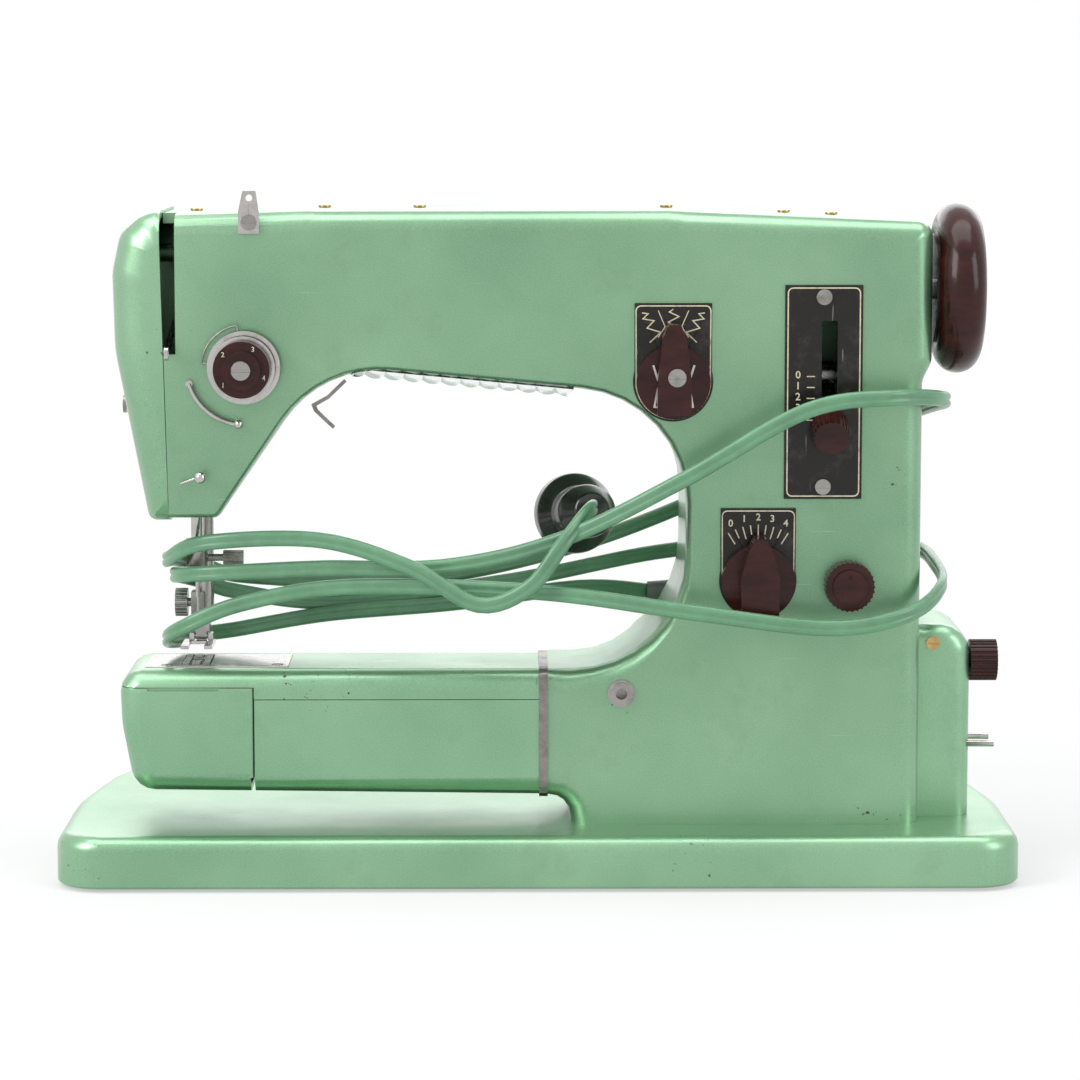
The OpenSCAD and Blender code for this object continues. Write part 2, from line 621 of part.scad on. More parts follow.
module needle_bar() {
  color(steel) {
    rod_z(sew_x, sew_y, 139.2, 261, nbar_r);
    slab([sew_x - 4.4, sew_y - 5.5, 204], [sew_x + 3.4, sew_y + 5.5, 216]);
    rod_x(sew_x + 3.2, link_x + 2.3, sew_y, 210, 2);
  }
}
link_x = -146.2;
module needle_bar_link() {
  color("gray") difference() {
    union() {
      rod_x(link_x, link_x + 2.2, sew_y, 210, 4.2);
      rod_x(link_x, link_x + 2.2, sew_y, shaft_z + crank_r - 1, 5.5);
      slab([link_x, sew_y - 2.4, 210], [link_x + 2.2, sew_y + 2.4, shaft_z + crank_r - 1]);
    }
    rod_x(link_x - 1, link_x + 4, sew_y, 210, 2 + run_gap);
    rod_x(link_x - 1, link_x + 4, sew_y, shaft_z + crank_r - 1, 2.5 + run_gap);
  }
}
module needle_clamp() {
  color(steel) {
    difference() {
      rod_z(sew_x, sew_y, 133.5, 147, 5);
      rod_z(sew_x, sew_y, 139.1, 160, nbar_r + slip);
      rod_z(sew_x, sew_y, 130, 160, 1 + slip);
    }
    rod_x(sew_x + 4.5, sew_x + 12, sew_y, 138.5, 1.6);
    along_x(sew_x + 11.5, sew_y, 138.5) ribbed(3.3, 9, 16, 0.35);
  }
}
module needle() {
  color(steel) {
    rod_z(sew_x, sew_y, 121, 139, 1);
    rod_z(sew_x, sew_y, needle_tip + 4, 122, 0.45);
    translate([sew_x, sew_y, needle_tip]) cylinder(h = 4.01, r1 = 0.05, r2 = 0.45);
  }
}
take_up_pivot = [-8, 250];
module take_up_lever() {
  color(steel) difference() {
    union() {
      rod_x(-161, -158.6, take_up_pivot[0], take_up_pivot[1], 6);
      translate([-160.8, take_up_pivot[0], take_up_pivot[1]]) rotate([14, 0, 0]) translate([0, -74, -2]) cube([1.8, 74, 4]);
      translate([-160.8, take_up_pivot[0], take_up_pivot[1]]) rotate([14, 0, 0]) translate([0, -74, 0]) rotate([0, 90, 0]) cylinder(h = 1.8, r = 3);
    }
    rod_x(-163, -156, take_up_pivot[0], take_up_pivot[1], 3 + run_gap);
    translate([-161.8, take_up_pivot[0], take_up_pivot[1]]) rotate([14, 0, 0]) translate([0, -74, 0]) rotate([0, 90, 0]) cylinder(h = 4, r = 1.3);
  }
}
module presser_bar() {
  color(steel) {
    rod_z(presser_x, presser_y, 109, 252, pbar_r);
    rod_z(presser_x, presser_y, lift_z, 195, 6);
    slab([presser_x - 2.5, presser_y + 2, lift_z], [presser_x + 2, 4, lift_z + 4]);
    // ankle, held by the thumb screw
    slab([presser_x - 6.8, presser_y - 5, 104.6], [presser_x - 1, presser_y + 5, 121]);
    slab([presser_x - 6.8, -32.8, 104.6], [presser_x + 2, presser_y - 4, 108]);
    difference() {
      union() {
        rod_x(sew_x - 1.5, sew_x + 3.2, foot_axis[0], foot_axis[1], 1.7);
        slab([sew_x - 1.5, foot_axis[0] - 1.7, foot_axis[1]], [sew_x + 3.2, foot_axis[0] + 1.7, 105]);
      }
      rod_x(sew_x - 3, sew_x + 5, foot_axis[0], foot_axis[1], 0.9 + run_gap);
    }
    rod_x(presser_x - 9, presser_x - 6, presser_y, 115.9, 2);
    along_x(presser_x - 14, presser_y, 115.9) ribbed(6.4, 5.5, 20, 0.5);
  }
}
module presser_spring() {
  color("gray") difference() {
    rod_z(presser_x, presser_y, 195.1, 223.9, 5.2);
    rod_z(presser_x, presser_y, 190, 230, pbar_r + 0.4);
  }
}
sole_t = 1.6;
foot_axis = [-30.6, 102.4];
module presser_foot() {
  color(steel) difference() {
    union() {
      slab([sew_x - 7, -50, foot_sole], [sew_x + 7, -28.4, foot_sole + sole_t]);
      for (x = [sew_x - 4.6, sew_x + 3.9]) slab([x, -32.1, foot_sole + 1], [x + 2.2, -29.1, foot_sole + 4.9]);
      rod_x(sew_x - 4, sew_x + 5, foot_axis[0], foot_axis[1], 0.9);
    }
    slab([sew_x - 3.4, -60, 90], [sew_x + 3.4, -35, 110]);
  }
}
lift = 5.4;
lift_turn = 70;
// The cam's reach falls evenly as it turns, so that the lug comes down with it
function cam_point(g) =
  let (h = lift_z - lifter_at[1] - 0.3 - lift * g / lift_turn, k = -lift / lift_turn * 180 / PI)
  [-h * sin(g) - k * cos(g), h * cos(g) - k * sin(g)];
module presser_lifter() {
  color(steel) difference() {
    union() {
      rod_x(-152, -144.4, lifter_at[0], lifter_at[1], 3.6);
      translate([-151, lifter_at[0], lifter_at[1]]) rotate([90, 0, 90]) linear_extrude(5)
        polygon(concat([for (g = [0:10:lift_turn]) cam_point(g)], [[-4.6, 2], [-4.6, -2], [-2, -4.6], [2, -4.6], [5.2, -2.5]]));
      translate([-150.8, lifter_at[0], lifter_at[1]]) rotate([20, 0, 0]) translate([0, 3, -2]) cube([4.6, 41, 4]);
      translate([-151, lifter_at[0], lifter_at[1]]) rotate([20, 0, 0]) translate([0, 42, -4]) cube([5, 12, 6.2]);
    }
    rod_x(-160, -140, lifter_at[0], lifter_at[1], 2.5 + run_gap);
  }
}

// ---------- drive ----------

bush_t = 0.9;         // wall of the needle bar's and presser bar's bushes
// Places of the shaft bushes, as left end, length, height and bore radius
bush_list = [[web_a - 0.5, web_t + 2, shaft_z, shaft_r], [web_b - 0.5, web_t + 1, shaft_z, shaft_r],
  [body_right - body_wall - 0.5, 8, shaft_z, shaft_r], [web_b - 0.5, web_t + 1, low_z, low_r],
  [arm_web_x[0] - 1, arm_web_t + 2, low_z, low_r],
  [arm_web_x[1] - 1, arm_web_t + 2, low_z, low_r]];
module bushes() {
  color("peru") {
    for (b = bush_list) difference() {
      rod_x(b[0], b[0] + b[1], sew_y, b[2], b[3] + 3 - slip);
      rod_x(b[0] - 1, b[0] + b[1] + 1, sew_y, b[2], b[3] + run_gap);
    }
    for (z = [[head_z - 1, head_z + 12], [222.5, 233]]) {
      difference() {
        rod_z(sew_x, sew_y, z[0], z[1], nbar_r + bush_t - slip);
        rod_z(sew_x, sew_y, z[0] - 1, z[1] + 1, nbar_r + run_gap);
      }
      difference() {
        rod_z(presser_x, presser_y, z[0] + (z[0] > 200 ? 1.6 : 0), z[1], pbar_r + bush_t - slip);
        rod_z(presser_x, presser_y, z[0] - 1, z[1] + 1, pbar_r + run_gap);
      }
    }
  }
}
crank_x = -143.4;
module main_shaft() {
  color(steel) {
    rod_x(crank_x + 3, 193, sew_y, shaft_z, shaft_r);
    rod_x(crank_x + 2.6, crank_x + 6.2, sew_y, shaft_z, crank_r + 5);
    rod_x(crank_x, crank_x + 3, sew_y, shaft_z + crank_r - 1, 2.5);
  }
  color("gray") for (p = [[belt_x, belt_w, timing_r], [drive_x, drive_w, drive_r]]) {
    rod_x(p[0], p[0] + p[1], sew_y, shaft_z, p[2]);
    rod_x(p[0] - 1.2, p[0] - 0.2, sew_y, shaft_z, p[2] + 3);
    rod_x(p[0] - 0.3, p[0] + p[1] + 0.3, sew_y, shaft_z, p[2] - 4);
    rod_x(p[0] + p[1] + 0.2, p[0] + p[1] + 1.2, sew_y, shaft_z, p[2] + 3);
  }
}
module lower_shaft() {
  color(steel) rod_x(-147, 99, sew_y, low_z, low_r);
  color("gray") {
    rod_x(belt_x, belt_x + belt_w, sew_y, low_z, timing_r / 2);
    rod_x(belt_x - 1.2, belt_x + 0.1, sew_y, low_z, timing_r / 2 + 3);
    rod_x(belt_x + belt_w - 0.1, belt_x + belt_w + 1.2, sew_y, low_z, timing_r / 2 + 3);
  }
}
module hook() {
  color(steel) difference() {
    rod_x(-162, -144, sew_y, low_z, hook_r);
    rod_x(-170, -148, sew_y, low_z, hook_r - 2);
    rod_x(-150, -140, sew_y, low_z, low_r + slip);
    slab([-170, sew_y - 2, low_z], [-154, sew_y + 11, low_z + 30]);
  }
}
module bobbin_case() {
  color("gray") difference() {
    rod_x(-161.5, -148.5, sew_y, low_z, hook_r - 2 - run_gap);
    rod_x(-160.5, -148, sew_y, low_z, hook_r - 5);
  }
}
module bobbin() {
  color(steel) difference() {
    union() {
      rod_x(-160.3, -159.3, sew_y, low_z, hook_r - 5.4);
      rod_x(-150, -149, sew_y, low_z, hook_r - 5.4);
      rod_x(-160, -149.5, sew_y, low_z, 4);
    }
    rod_x(-162, -148, sew_y, low_z, 3);
  }
}
// Closed belt of thickness t and width w round two pulleys with axes along X, each centre [y, z]
module belt(x, w, c0, r0, c1, r1, t) {
  u = unit(c1 - c0);
  lean = asin((r1 - r0) / norm(c1 - c0));
  m = left_of(u) * cos(lean) - u * sin(lean);
  k = -left_of(u) * cos(lean) - u * sin(lean);
  module loop(d) {
    translate(c0) circle(r = r0 + d);
    translate(c1) circle(r = r1 + d);
    polygon([c0 + k * (r0 + d), c1 + k * (r1 + d), c1 + m * (r1 + d), c0 + m * (r0 + d)]);
  }
  translate([x, 0, 0]) rotate([90, 0, 90]) linear_extrude(w) difference() {
    loop(run_gap + t);
    loop(run_gap);
  }
}
module timing_belt() {
  color("#222222") belt(belt_x + 0.2, belt_w - 0.4, [sew_y, low_z], timing_r / 2,
    [sew_y, shaft_z], timing_r, 2);
}
motor_y = -22;
motor_z = 66;
module motor_belt() {
  color("#222222") belt(drive_x + 0.2, drive_w - 0.4, [motor_y, motor_z], motor_pulley_r,
    [sew_y, shaft_z], drive_r, 2.4);
}
motor_x = 118;
motor_len = 52;
module motor() {
  color("dimgray") difference() {
    union() {
      rod_x(motor_x, motor_x + motor_len, motor_y, motor_z, motor_r);
      rod_x(motor_x - 4, motor_x + motor_len + 3, motor_y, motor_z, motor_r - 8);
    }
    rod_x(motor_x - 6, motor_x + 30, motor_y, motor_z, 3 + run_gap);
  }
}
module motor_shaft() {
  color(steel) rod_x(drive_x - 1, motor_x + 28, motor_y, motor_z, 3);
  color("gray") {
    rod_x(drive_x, drive_x + drive_w, motor_y, motor_z, motor_pulley_r);
    for (x = [drive_x - 1, drive_x + drive_w + 0.1]) rod_x(x, x + 0.9, motor_y, motor_z, motor_pulley_r + 3);
  }
}
module motor_bracket() {
  color("gray") difference() {
    slab([motor_x + 6, motor_y - 20, base_h + slip], [motor_x + motor_len - 8, motor_y + 20, motor_z - 6]);
    rod_x(motor_x - 6, motor_x + motor_len + 6, motor_y, motor_z, motor_r + slip);
  }
}
module handwheel() {
  color(brown) along_x(neck_right, sew_y, shaft_z) rotate_extrude() difference() {
    union() {
      translate([0, 2]) square([24, 9]);
      translate([0, 4]) square([wheel_r - 8, 6]);
      translate([wheel_r - 10, 13.2]) circle(r = 10);
      translate([wheel_r - 22, 4]) square([12, 7]);
    }
    translate([-1, 0]) square([1 + shaft_r + slip, 40]);
    translate([shaft_r, 12]) square([11.5, 20]);
  }
}
module clutch_knob() {
  color(brown) along_x(neck_right + 12.2, sew_y, shaft_z) difference() {
    union() {
      cylinder(h = 5, r = 11);
      translate([0, 0, 4]) ribbed(10, 6.5, 24, 0.6);
    }
    translate([0, 0, -1]) cylinder(h = 10.5, r = shaft_r + run_gap);
  }
}

// ---------- controls ----------

module pattern_plate() {
  color("#181614") translate([0, -face_y - slip, 0]) stand() linear_extrude(dial_t - slip) difference() {
    union() {
      translate([pattern_at[0] - 16.8, pattern_at[1]]) square([33.6, 34]);
      translate(pattern_at) circle(r = 17.4);
    }
    translate(pattern_at) circle(r = 3.2);
  }
}
module knob_shank(at) { rod_y(at[0], -56, -face_y - dial_t - 1, at[1], 3); }
module pattern_knob() {
  y0 = -face_y - dial_t - gap;
  color(brown) {
    facing(pattern_at[0], y0, pattern_at[1]) cylinder(h = 4.2, r = pattern_r);
    translate([0, y0 - 4, 0]) stand() linear_extrude(13) polygon([for (p = [[-7.4, -13.5], [7.4, -13.5], [7, 4],
      [5, 20], [2.6, 25.6], [-2.6, 25.6], [-5, 20], [-7, 4]]) pattern_at + p]);
    knob_shank(pattern_at);
  }
  color(steel) facing(pattern_at[0] + 1, y0 - 17, pattern_at[1] + 3) screw(3.9, 1.6, 1.5, 1);
}
module stitch_plate() {
  color("#181614") difference() {
    slab([106.8, -face_y - dial_t, 168], [140.6, -face_y - slip, 261]);
    slab([stitch_at[0] - 0.8, -80, 190.5], [stitch_at[0] + 5.9, -60, 245.5]);
    for (z = stitch_screw_z) rod_y(stitch_at[0], -60, -80, z, 1.8 + slip);
  }
}
stitch_lean = 25;
lever_x = stitch_at[0] + 2.55;
module stitch_lever() {
  translate([lever_x, stitch_pivot[0], stitch_pivot[1]]) rotate([90 + stitch_lean, 0, 0]) {
    color(steel) difference() {
      union() {
        rotate([0, 90, 0]) translate([0, 0, -4.5]) cylinder(h = 9, r = 6.5);
        translate([-2.2, -2.2, 0]) cube([4.4, 4.4, 45]);
      }
      rotate([0, 90, 0]) translate([0, 0, -10]) cylinder(h = 20, r = 3 + run_gap);
    }
    color(brown) translate([0, 0, 42.6]) {
      difference() {
        ribbed(stitch_r, 12, 22, 0.5);
        translate([-2.25, -2.25, -1]) cube([4.5, 4.5, 3.5]);
      }
    }
  }
}
module width_plate() {
  color("#181614") translate([0, -face_y - slip, 0]) stand() linear_extrude(dial_t - slip) difference() {
    union() {
      translate([width_at[0] - 16.4, width_at[1] - 4]) square([32.8, 35.8]);
      translate(width_at) circle(r = 16.9);
    }
    translate(width_at) circle(r = 3.2);
  }
}
module width_knob() {
  y0 = -face_y - dial_t - gap;
  color(brown) {
    facing(width_at[0], y0, width_at[1]) cylinder(h = 6, r = width_r);
    translate([0, y0 - 5, 0]) stand() linear_extrude(14) polygon([for (p = [[-8, -15], [8, -15], [8.5, 3],
      [5.5, 14], [2.4, 20.6], [-2.4, 20.6], [-5.5, 14], [-8.5, 3]]) width_at + p]);
    knob_shank(width_at);
  }
}
module feed_knob_ring() {
  color(brown) facing(feed_at[0], -face_y - slip, feed_at[1]) difference() {
    ribbed(11, 8.5, 30, 0.45);
    translate([0, 0, -1]) cylinder(h = 20, r = 7.6);
  }
}
module feed_knob() {
  color(brown) {
    difference() {
      facing(feed_at[0], -face_y - gap, feed_at[1]) cylinder(h = 9.6, r = 7.6 - 2 * run_gap);
      facing(feed_at[0], -face_y - 9.2, feed_at[1] + 4.4) cylinder(h = 3, r = 0.9);
    }
    rod_y(feed_at[0], -56, -face_y - 1, feed_at[1], 3);
  }
}
module accessory_socket() {
  color(steel) difference() {
    union() {
      rod_y(socket_at[0], -face_y - slip, -face_y - 1.2, socket_at[1], 6);
      rod_y(socket_at[0], -face_y - 1, -face_y - 2.4, socket_at[1], 5);
      rod_y(socket_at[0], -face_y + 6.5, -face_y - 1, socket_at[1], socket_r + 1.2);
    }
    rod_y(socket_at[0], -face_y + 4, -80, socket_at[1], socket_r);
  }
}

// ---------- motor cover, inlet and lamp ----------

motor_front = -52;
motor_back = 8;
motor_top = 109.6;
motor_right = 191.8;
motor_wall = 2.5;
motor_edge = 8;
function motor_outline() = [
  [150, base_h - 20, 0.5, 0],
  [motor_right, base_h - 20, 0.5, 1],
  [motor_right, motor_top, 13, 1],
  [150, motor_top, 0.5, 0]];
module motor_cover() {
  color(mint) difference() {
    union() {
      stand() skin(motor_outline(), concat(low_fillet(-motor_back, motor_edge), high_fillet(-motor_front, motor_edge)));
      intersection() {
        stand() skin(motor_outline(), concat(low_fillet(-motor_back - 1.2, motor_edge), high_fillet(-motor_front + 1.2, motor_edge)));
        slab([body_right, -100, 0], [body_right + 2.6, 60, 120]);
      }
    }
    hollow(motor_outline(), motor_back, motor_front, motor_edge, motor_wall);
    slab([0, -100, -50], [body_right + slip, 100, 200]);
    slab([0, -100, -50], [300, 100, base_h + slip]);
    rod_x(170, 200, switch_at[0], switch_at[1], 3 + 2 * run_gap);
    for (y = pin_y) rod_x(180, 200, y, pin_z, 3);
    rod_y(cover_pin[0], -40, -60, cover_pin[1], 1.3 + slip);
  }
}
switch_at = [-40, 92.5];
pin_y = [-45, -26];
pin_z = 55.6;
module inlet_block() {
  block_x = motor_right - motor_wall - slip;
  color("#26211c") {
    translate([0, 0, 48]) linear_extrude(15) polygon([[178, -48.6], [block_x - 3.4, -48.6], [block_x, -43.4],
      [block_x, -18], [178, -18]]);
    difference() {
      slab([178, -46, 84], [block_x - 1, -33, 98]);
      rod_x(176, 200, switch_at[0], switch_at[1], 3 + run_gap);
    }
  }
  color(steel) for (y = pin_y) rod_x(block_x - 4, 203, y, pin_z, 1.5);
}
module switch_knob() {
  color(brown) {
    rod_x(179, motor_right + 1, switch_at[0], switch_at[1], 3);
    along_x(motor_right + gap, switch_at[0], switch_at[1]) ribbed(9.2, 12, 26, 0.5);
  }
}
// Points of the arm's underside over the lens, moved d below it
function lens_edge(d) =
  let (arc = corner_arc(even(body_outline()), 10, -d))
  concat([for (k = [5:8]) arc[k]], [[lens_x1, under_at(lens_x1) - d]]);
module lamp_lens() {
  low = lens_edge(3.6);
  color("white", 0.5) translate([0, lens_back, 0]) stand() linear_extrude(lens_back - lens_front)
    polygon(concat(lens_edge(gap), [for (k = [4:-1:0]) low[k]]));
  color("white", 0.5) translate([0, lens_back - 2.4, 0]) stand() linear_extrude(lens_back - lens_front - 4.8)
    polygon([[-60, under_at(-60) - 0.4], [lens_x1 - 2.4, under_at(lens_x1 - 2.4) - 0.4],
      [lens_x1 - 2.4, under_at(lens_x1) + 3], [-60, under_at(-60) + 3]]);
}
bulb_at = [-48, 238];
module lamp_holder() {
  color("dimgray") {
    difference() {
      rod_x(18, 36, bulb_at[0], bulb_at[1], 8.5);
      rod_x(10, 30, bulb_at[0], bulb_at[1], 6.2);
    }
    slab([22, bulb_at[0] - 5, under_at(22) + body_wall + 0.1], [34, bulb_at[0] + 5, bulb_at[1] - 7.5]);
  }
}
module lamp_bulb() {
  color("white", 0.7) {
    along_x(-18, bulb_at[0], bulb_at[1]) rotate_extrude() polygon([[0, 0], [3, 0.6], [5.6, 2.3], [7.4, 4.9],
      [8, 8], [7.4, 11.2], [6, 14.5], [6, 47.8], [0, 47.8]]);
  }
}
module lens_clip() {
  color("dimgray") translate([0, -60, 0]) stand() linear_extrude(1.6) polygon([[-84.4, 219.6], [-91.9, 212.4],
    [-98.8, 208.6], [-97.6, 205.6], [-91.6, 199.9], [-89.4, 197.9], [-88.4, 199.1], [-90.5, 201.0], [-95.9, 206.2],
    [-96.6, 207.9], [-91, 211.1], [-83.3, 218.5]]);
}

// ---------- mains lead ----------

cord_exit = [51, 24, 115];
module cord_sleeve() {
  color("gray") {
    slab([68, body_back + slip, 107], [90, 30, 123]);
    rod_y(80, body_back + 1, body_back - body_wall - 2, cord_exit[2], 5 - slip);
    translate([cord_exit[0], cord_exit[1], cord_exit[2]]) rotate([0, 90, 0]) cylinder(h = 17.5, r1 = 4.3, r2 = 5.6);
  }
}
// Route of the lead, from the sleeve round the head and the pillar to the plug
cord_points = [cord_exit, [20, 14, 118], [-38, -3, 113], [-95, -9, 109], [-138, -7, 101.5],
  [-154.5, -7.5, 99.5], [-161, -18, 98.5], [-165, -39, 102], [-157, -58, 109.5],
  [-130, -62, 121], [-82, -66, 129], [0, -84, 129], [65, -97, 122], [125, -97, 115],
  [160, -89, 120], [177, -63, 129], [178, -18, 134], [174, 12, 136], [157, 25, 137],
  [105, 26, 137], [55, 23, 133], [-14, 4, 122], [-90, -5, 114], [-135, -8, 119],
  [-152, -10, 124.5], [-161, -22, 128.5], [-159.5, -44, 131.5], [-142, -58, 134],
  [-95, -64, 137], [-40, -74, 139], [10, -84, 152], [62, -96, 179], [115, -98, 209],
  [155, -93, 214], [177, -66, 211], [178, -18, 205], [174, 12, 200], [157, 26, 192],
  [105, 28, 170], [24, 16, 139], [-55, 5, 123], [-130, 0, 125], [-152, -4, 131],
  [-163, -18, 135.5], [-163.5, -42, 138.5], [-145, -62, 148], [-95, -70, 150], [-55, -80, 139],
  [-26, -88, 124], [-4, -92, 132], [10, -91, 150], [20, -80, 162], [24, -66, 164],
  [24, -52, 161]];
cord_step = 27;
function catmull(a, b, c, d, t) = 0.5 * ((2 * b) + (c - a) * t + (2 * a - 5 * b + 4 * c - d) * t * t
  + (3 * b - a - 3 * c + d) * t * t * t);
function route(p) = [for (i = [0:len(p) - 2])
  let (a = p[max(i - 1, 0)], b = p[i], c = p[i + 1], d = p[min(i + 2, len(p) - 1)],
    n = max(1, round(norm(c - b) / cord_step)))
  each [for (k = [0:n - 1]) catmull(a, b, c, d, k / n)]];
function ring_dir(p, i) = unit(p[min(i + 1, len(p) - 1)] - p[max(i - 1, 0)]);
// The flat lead stands on edge: its width leans with the route but stays upright
function lead_ring(at, dir) =
  let (side = unit(cross(dir, [0, 0, 1])), up = cross(side, dir))
  [for (s = [[0.32, 0.5], [0.5, 0.26], [0.5, -0.26], [0.32, -0.5], [-0.32, -0.5], [-0.5, -0.26], [-0.5, 0.26], [-0.32, 0.5]])
    at + side * s[0] * lead_t + up * s[1] * lead_w];
module cord() {
  mid = concat(route(cord_points), [cord_points[len(cord_points) - 1]]);
  rings = [for (i = [0:len(mid) - 1]) lead_ring(mid[i], ring_dir(mid, i))];
  end = len(rings) - 1;
  color("mediumseagreen") polyhedron(points = [for (r = rings) each r], faces = concat(
    [[for (i = [7:-1:0]) i]],
    [[for (i = [0:7]) end * 8 + i]],
    [for (k = [0:end - 1], i = [0:7]) let (j = (i + 1) % 8) [k * 8 + i, k * 8 + j, (k + 1) * 8 + j]],
    [for (k = [0:end - 1], i = [0:7]) let (j = (i + 1) % 8) [k * 8 + i, (k + 1) * 8 + j, (k + 1) * 8 + i]]), convexity = 10);
}
plug_front = [24, -52, 161];
module plug_frame() { translate(plug_front) rotate([0, 0, 15]) rotate([-99, 0, 0]) children(); }
module plug() {
  color("#1c1b19") plug_frame() {
    cylinder(h = 8, r1 = 8, r2 = 12);
    translate([0, 0, 7]) cylinder(h = 12, r = 13.5);
    translate([0, 0, 18]) cylinder(h = 8, r1 = 13.5, r2 = 18);
    translate([0, 0, 26]) cylinder(h = 7, r = 18);
  }
}
module plug_pins() {
  color(steel) plug_frame() for (x = [-9.5, 9.5]) translate([x, 0, 33]) cylinder(h = 19, r = 2.4);
}

base();
base_feet();
body();
arm_joint_ring();
free_arm();
arm_front_cover();
shuttle_cover();
needle_plate();
feed_dog();
face_cover();
cover_screws();
thread_guide();
oil_caps();
tension_cup();
tension_dial();
check_spring();
thread_guard();
thread_pin();
pattern_plate();
pattern_knob();
stitch_plate();
stitch_lever();
width_plate();
width_knob();
feed_knob_ring();
feed_knob();
accessory_socket();
bushes();
main_shaft();
handwheel();
clutch_knob();
timing_belt();
lower_shaft();
hook();
bobbin_case();
bobbin();
motor();
motor_shaft();
motor_belt();
motor_bracket();
motor_cover();
inlet_block();
switch_knob();
lamp_holder();
lamp_bulb();
lamp_lens();
lens_clip();
needle_bar();
needle_clamp();
needle();
needle_bar_link();
take_up_lever();
presser_bar();
presser_spring();
presser_foot();
presser_lifter();
cord_sleeve();
cord();
plug();
plug_pins();
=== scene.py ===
import math

import bmesh
import bpy
from mathutils import Matrix, Vector


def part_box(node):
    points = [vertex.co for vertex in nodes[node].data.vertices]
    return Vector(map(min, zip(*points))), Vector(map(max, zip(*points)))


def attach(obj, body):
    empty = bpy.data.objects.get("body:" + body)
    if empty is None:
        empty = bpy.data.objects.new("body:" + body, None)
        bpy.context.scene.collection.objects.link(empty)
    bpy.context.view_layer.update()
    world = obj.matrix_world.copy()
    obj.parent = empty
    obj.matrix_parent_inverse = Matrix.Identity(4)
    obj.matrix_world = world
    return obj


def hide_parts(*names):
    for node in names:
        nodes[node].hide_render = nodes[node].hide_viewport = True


MM = 0.001
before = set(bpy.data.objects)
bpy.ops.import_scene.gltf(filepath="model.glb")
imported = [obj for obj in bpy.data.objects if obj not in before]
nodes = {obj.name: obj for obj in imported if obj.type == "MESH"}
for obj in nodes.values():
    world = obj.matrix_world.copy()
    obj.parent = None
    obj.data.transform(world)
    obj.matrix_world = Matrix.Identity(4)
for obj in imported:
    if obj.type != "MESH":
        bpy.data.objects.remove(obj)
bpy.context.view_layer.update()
scene = bpy.context.scene


def point(x, y, z):
    """A place in the row frame, given in millimetres."""
    return Vector((x, y, z)) * MM


# ---------- camera ----------

CAMERA_AT = point(-11.3, -1700, 349.4)
CAMERA_AIM = point(0.6, -100, 153.7)
CAMERA_LENS = 125.7

camera_data = bpy.data.cameras.new("camera")
camera_data.lens = CAMERA_LENS
camera_data.sensor_width = 36
camera_data.clip_end = 30
camera = bpy.data.objects.new("camera", camera_data)
camera.location = CAMERA_AT
camera.rotation_euler = (CAMERA_AIM - CAMERA_AT).to_track_quat("-Z", "Y").to_euler()
scene.collection.objects.link(camera)
scene.camera = camera
scene.view_settings.view_transform = "Standard"


# ---------- shader helpers ----------

class Shader:
    """A node material built up step by step; every value is an output socket or a constant."""

    def __init__(self, name):
        self.material = bpy.data.materials.new(name)
        self.material.use_nodes = True
        self.tree = self.material.node_tree
        self.skin = self.tree.nodes["Principled BSDF"]
        self.where = self.node("ShaderNodeTexCoord").outputs["Object"]

    def node(self, kind, **settings):
        made = self.tree.nodes.new(kind)
        for key, value in settings.items():
            setattr(made, key, value)
        return made

    def feed(self, socket, value):
        if isinstance(value, bpy.types.NodeSocket):
            self.tree.links.new(value, socket)
        elif isinstance(value, (tuple, list)) and len(value) == 3 and socket.type == "RGBA":
            socket.default_value = (*value, 1)
        else:
            socket.default_value = value

    def stretched(self, x, y, z):
        made = self.node("ShaderNodeMapping")
        self.feed(made.inputs["Vector"], self.where)
        self.feed(made.inputs["Scale"], (x, y, z))
        return made.outputs["Vector"]

    def noise(self, scale, detail=3.0, rough=0.55, vector=None):
        made = self.node("ShaderNodeTexNoise")
        self.feed(made.inputs["Vector"], vector or self.where)
        self.feed(made.inputs["Scale"], scale)
        self.feed(made.inputs["Detail"], detail)
        self.feed(made.inputs["Roughness"], rough)
        return made.outputs["Fac"]

    def between(self, value, low, high, to_low=0.0, to_high=1.0):
        made = self.node("ShaderNodeMapRange")
        made.clamp = True
        self.feed(made.inputs["Value"], value)
        self.feed(made.inputs["From Min"], low)
        self.feed(made.inputs["From Max"], high)
        self.feed(made.inputs["To Min"], to_low)
        self.feed(made.inputs["To Max"], to_high)
        return made.outputs["Result"]

    def math(self, operation, a, b=0.0):
        made = self.node("ShaderNodeMath", operation=operation)
        self.feed(made.inputs[0], a)
        self.feed(made.inputs[1], b)
        return made.outputs[0]

    def mix(self, factor, a, b):
        made = self.node("ShaderNodeMix", data_type="RGBA")
        self.feed(made.inputs["Factor"], factor)
        self.feed(made.inputs["A"], a)
        self.feed(made.inputs["B"], b)
        return made.outputs["Result"]

    def near(self, centre, radius):
        """1 near a place in the row frame, fading to 0 at the radius, both in millimetres."""
        made = self.node("ShaderNodeVectorMath", operation="DISTANCE")
        self.feed(made.inputs[0], self.where)
        self.feed(made.inputs[1], tuple(point(*centre)))
        return self.between(made.outputs["Value"], radius * 0.4 * MM, radius * MM, 1.0, 0.0)

    def bump(self, height, strength, distance):
        made = self.node("ShaderNodeBump")
        self.feed(made.inputs["Height"], height)
        self.feed(made.inputs["Strength"], strength)
        self.feed(made.inputs["Distance"], distance * MM)
        self.tree.links.new(made.outputs["Normal"], self.skin.inputs["Normal"])

    def set(self, **values):
        for key, value in values.items():
            self.feed(self.skin.inputs[key.replace("_", " ")], value)
        return self


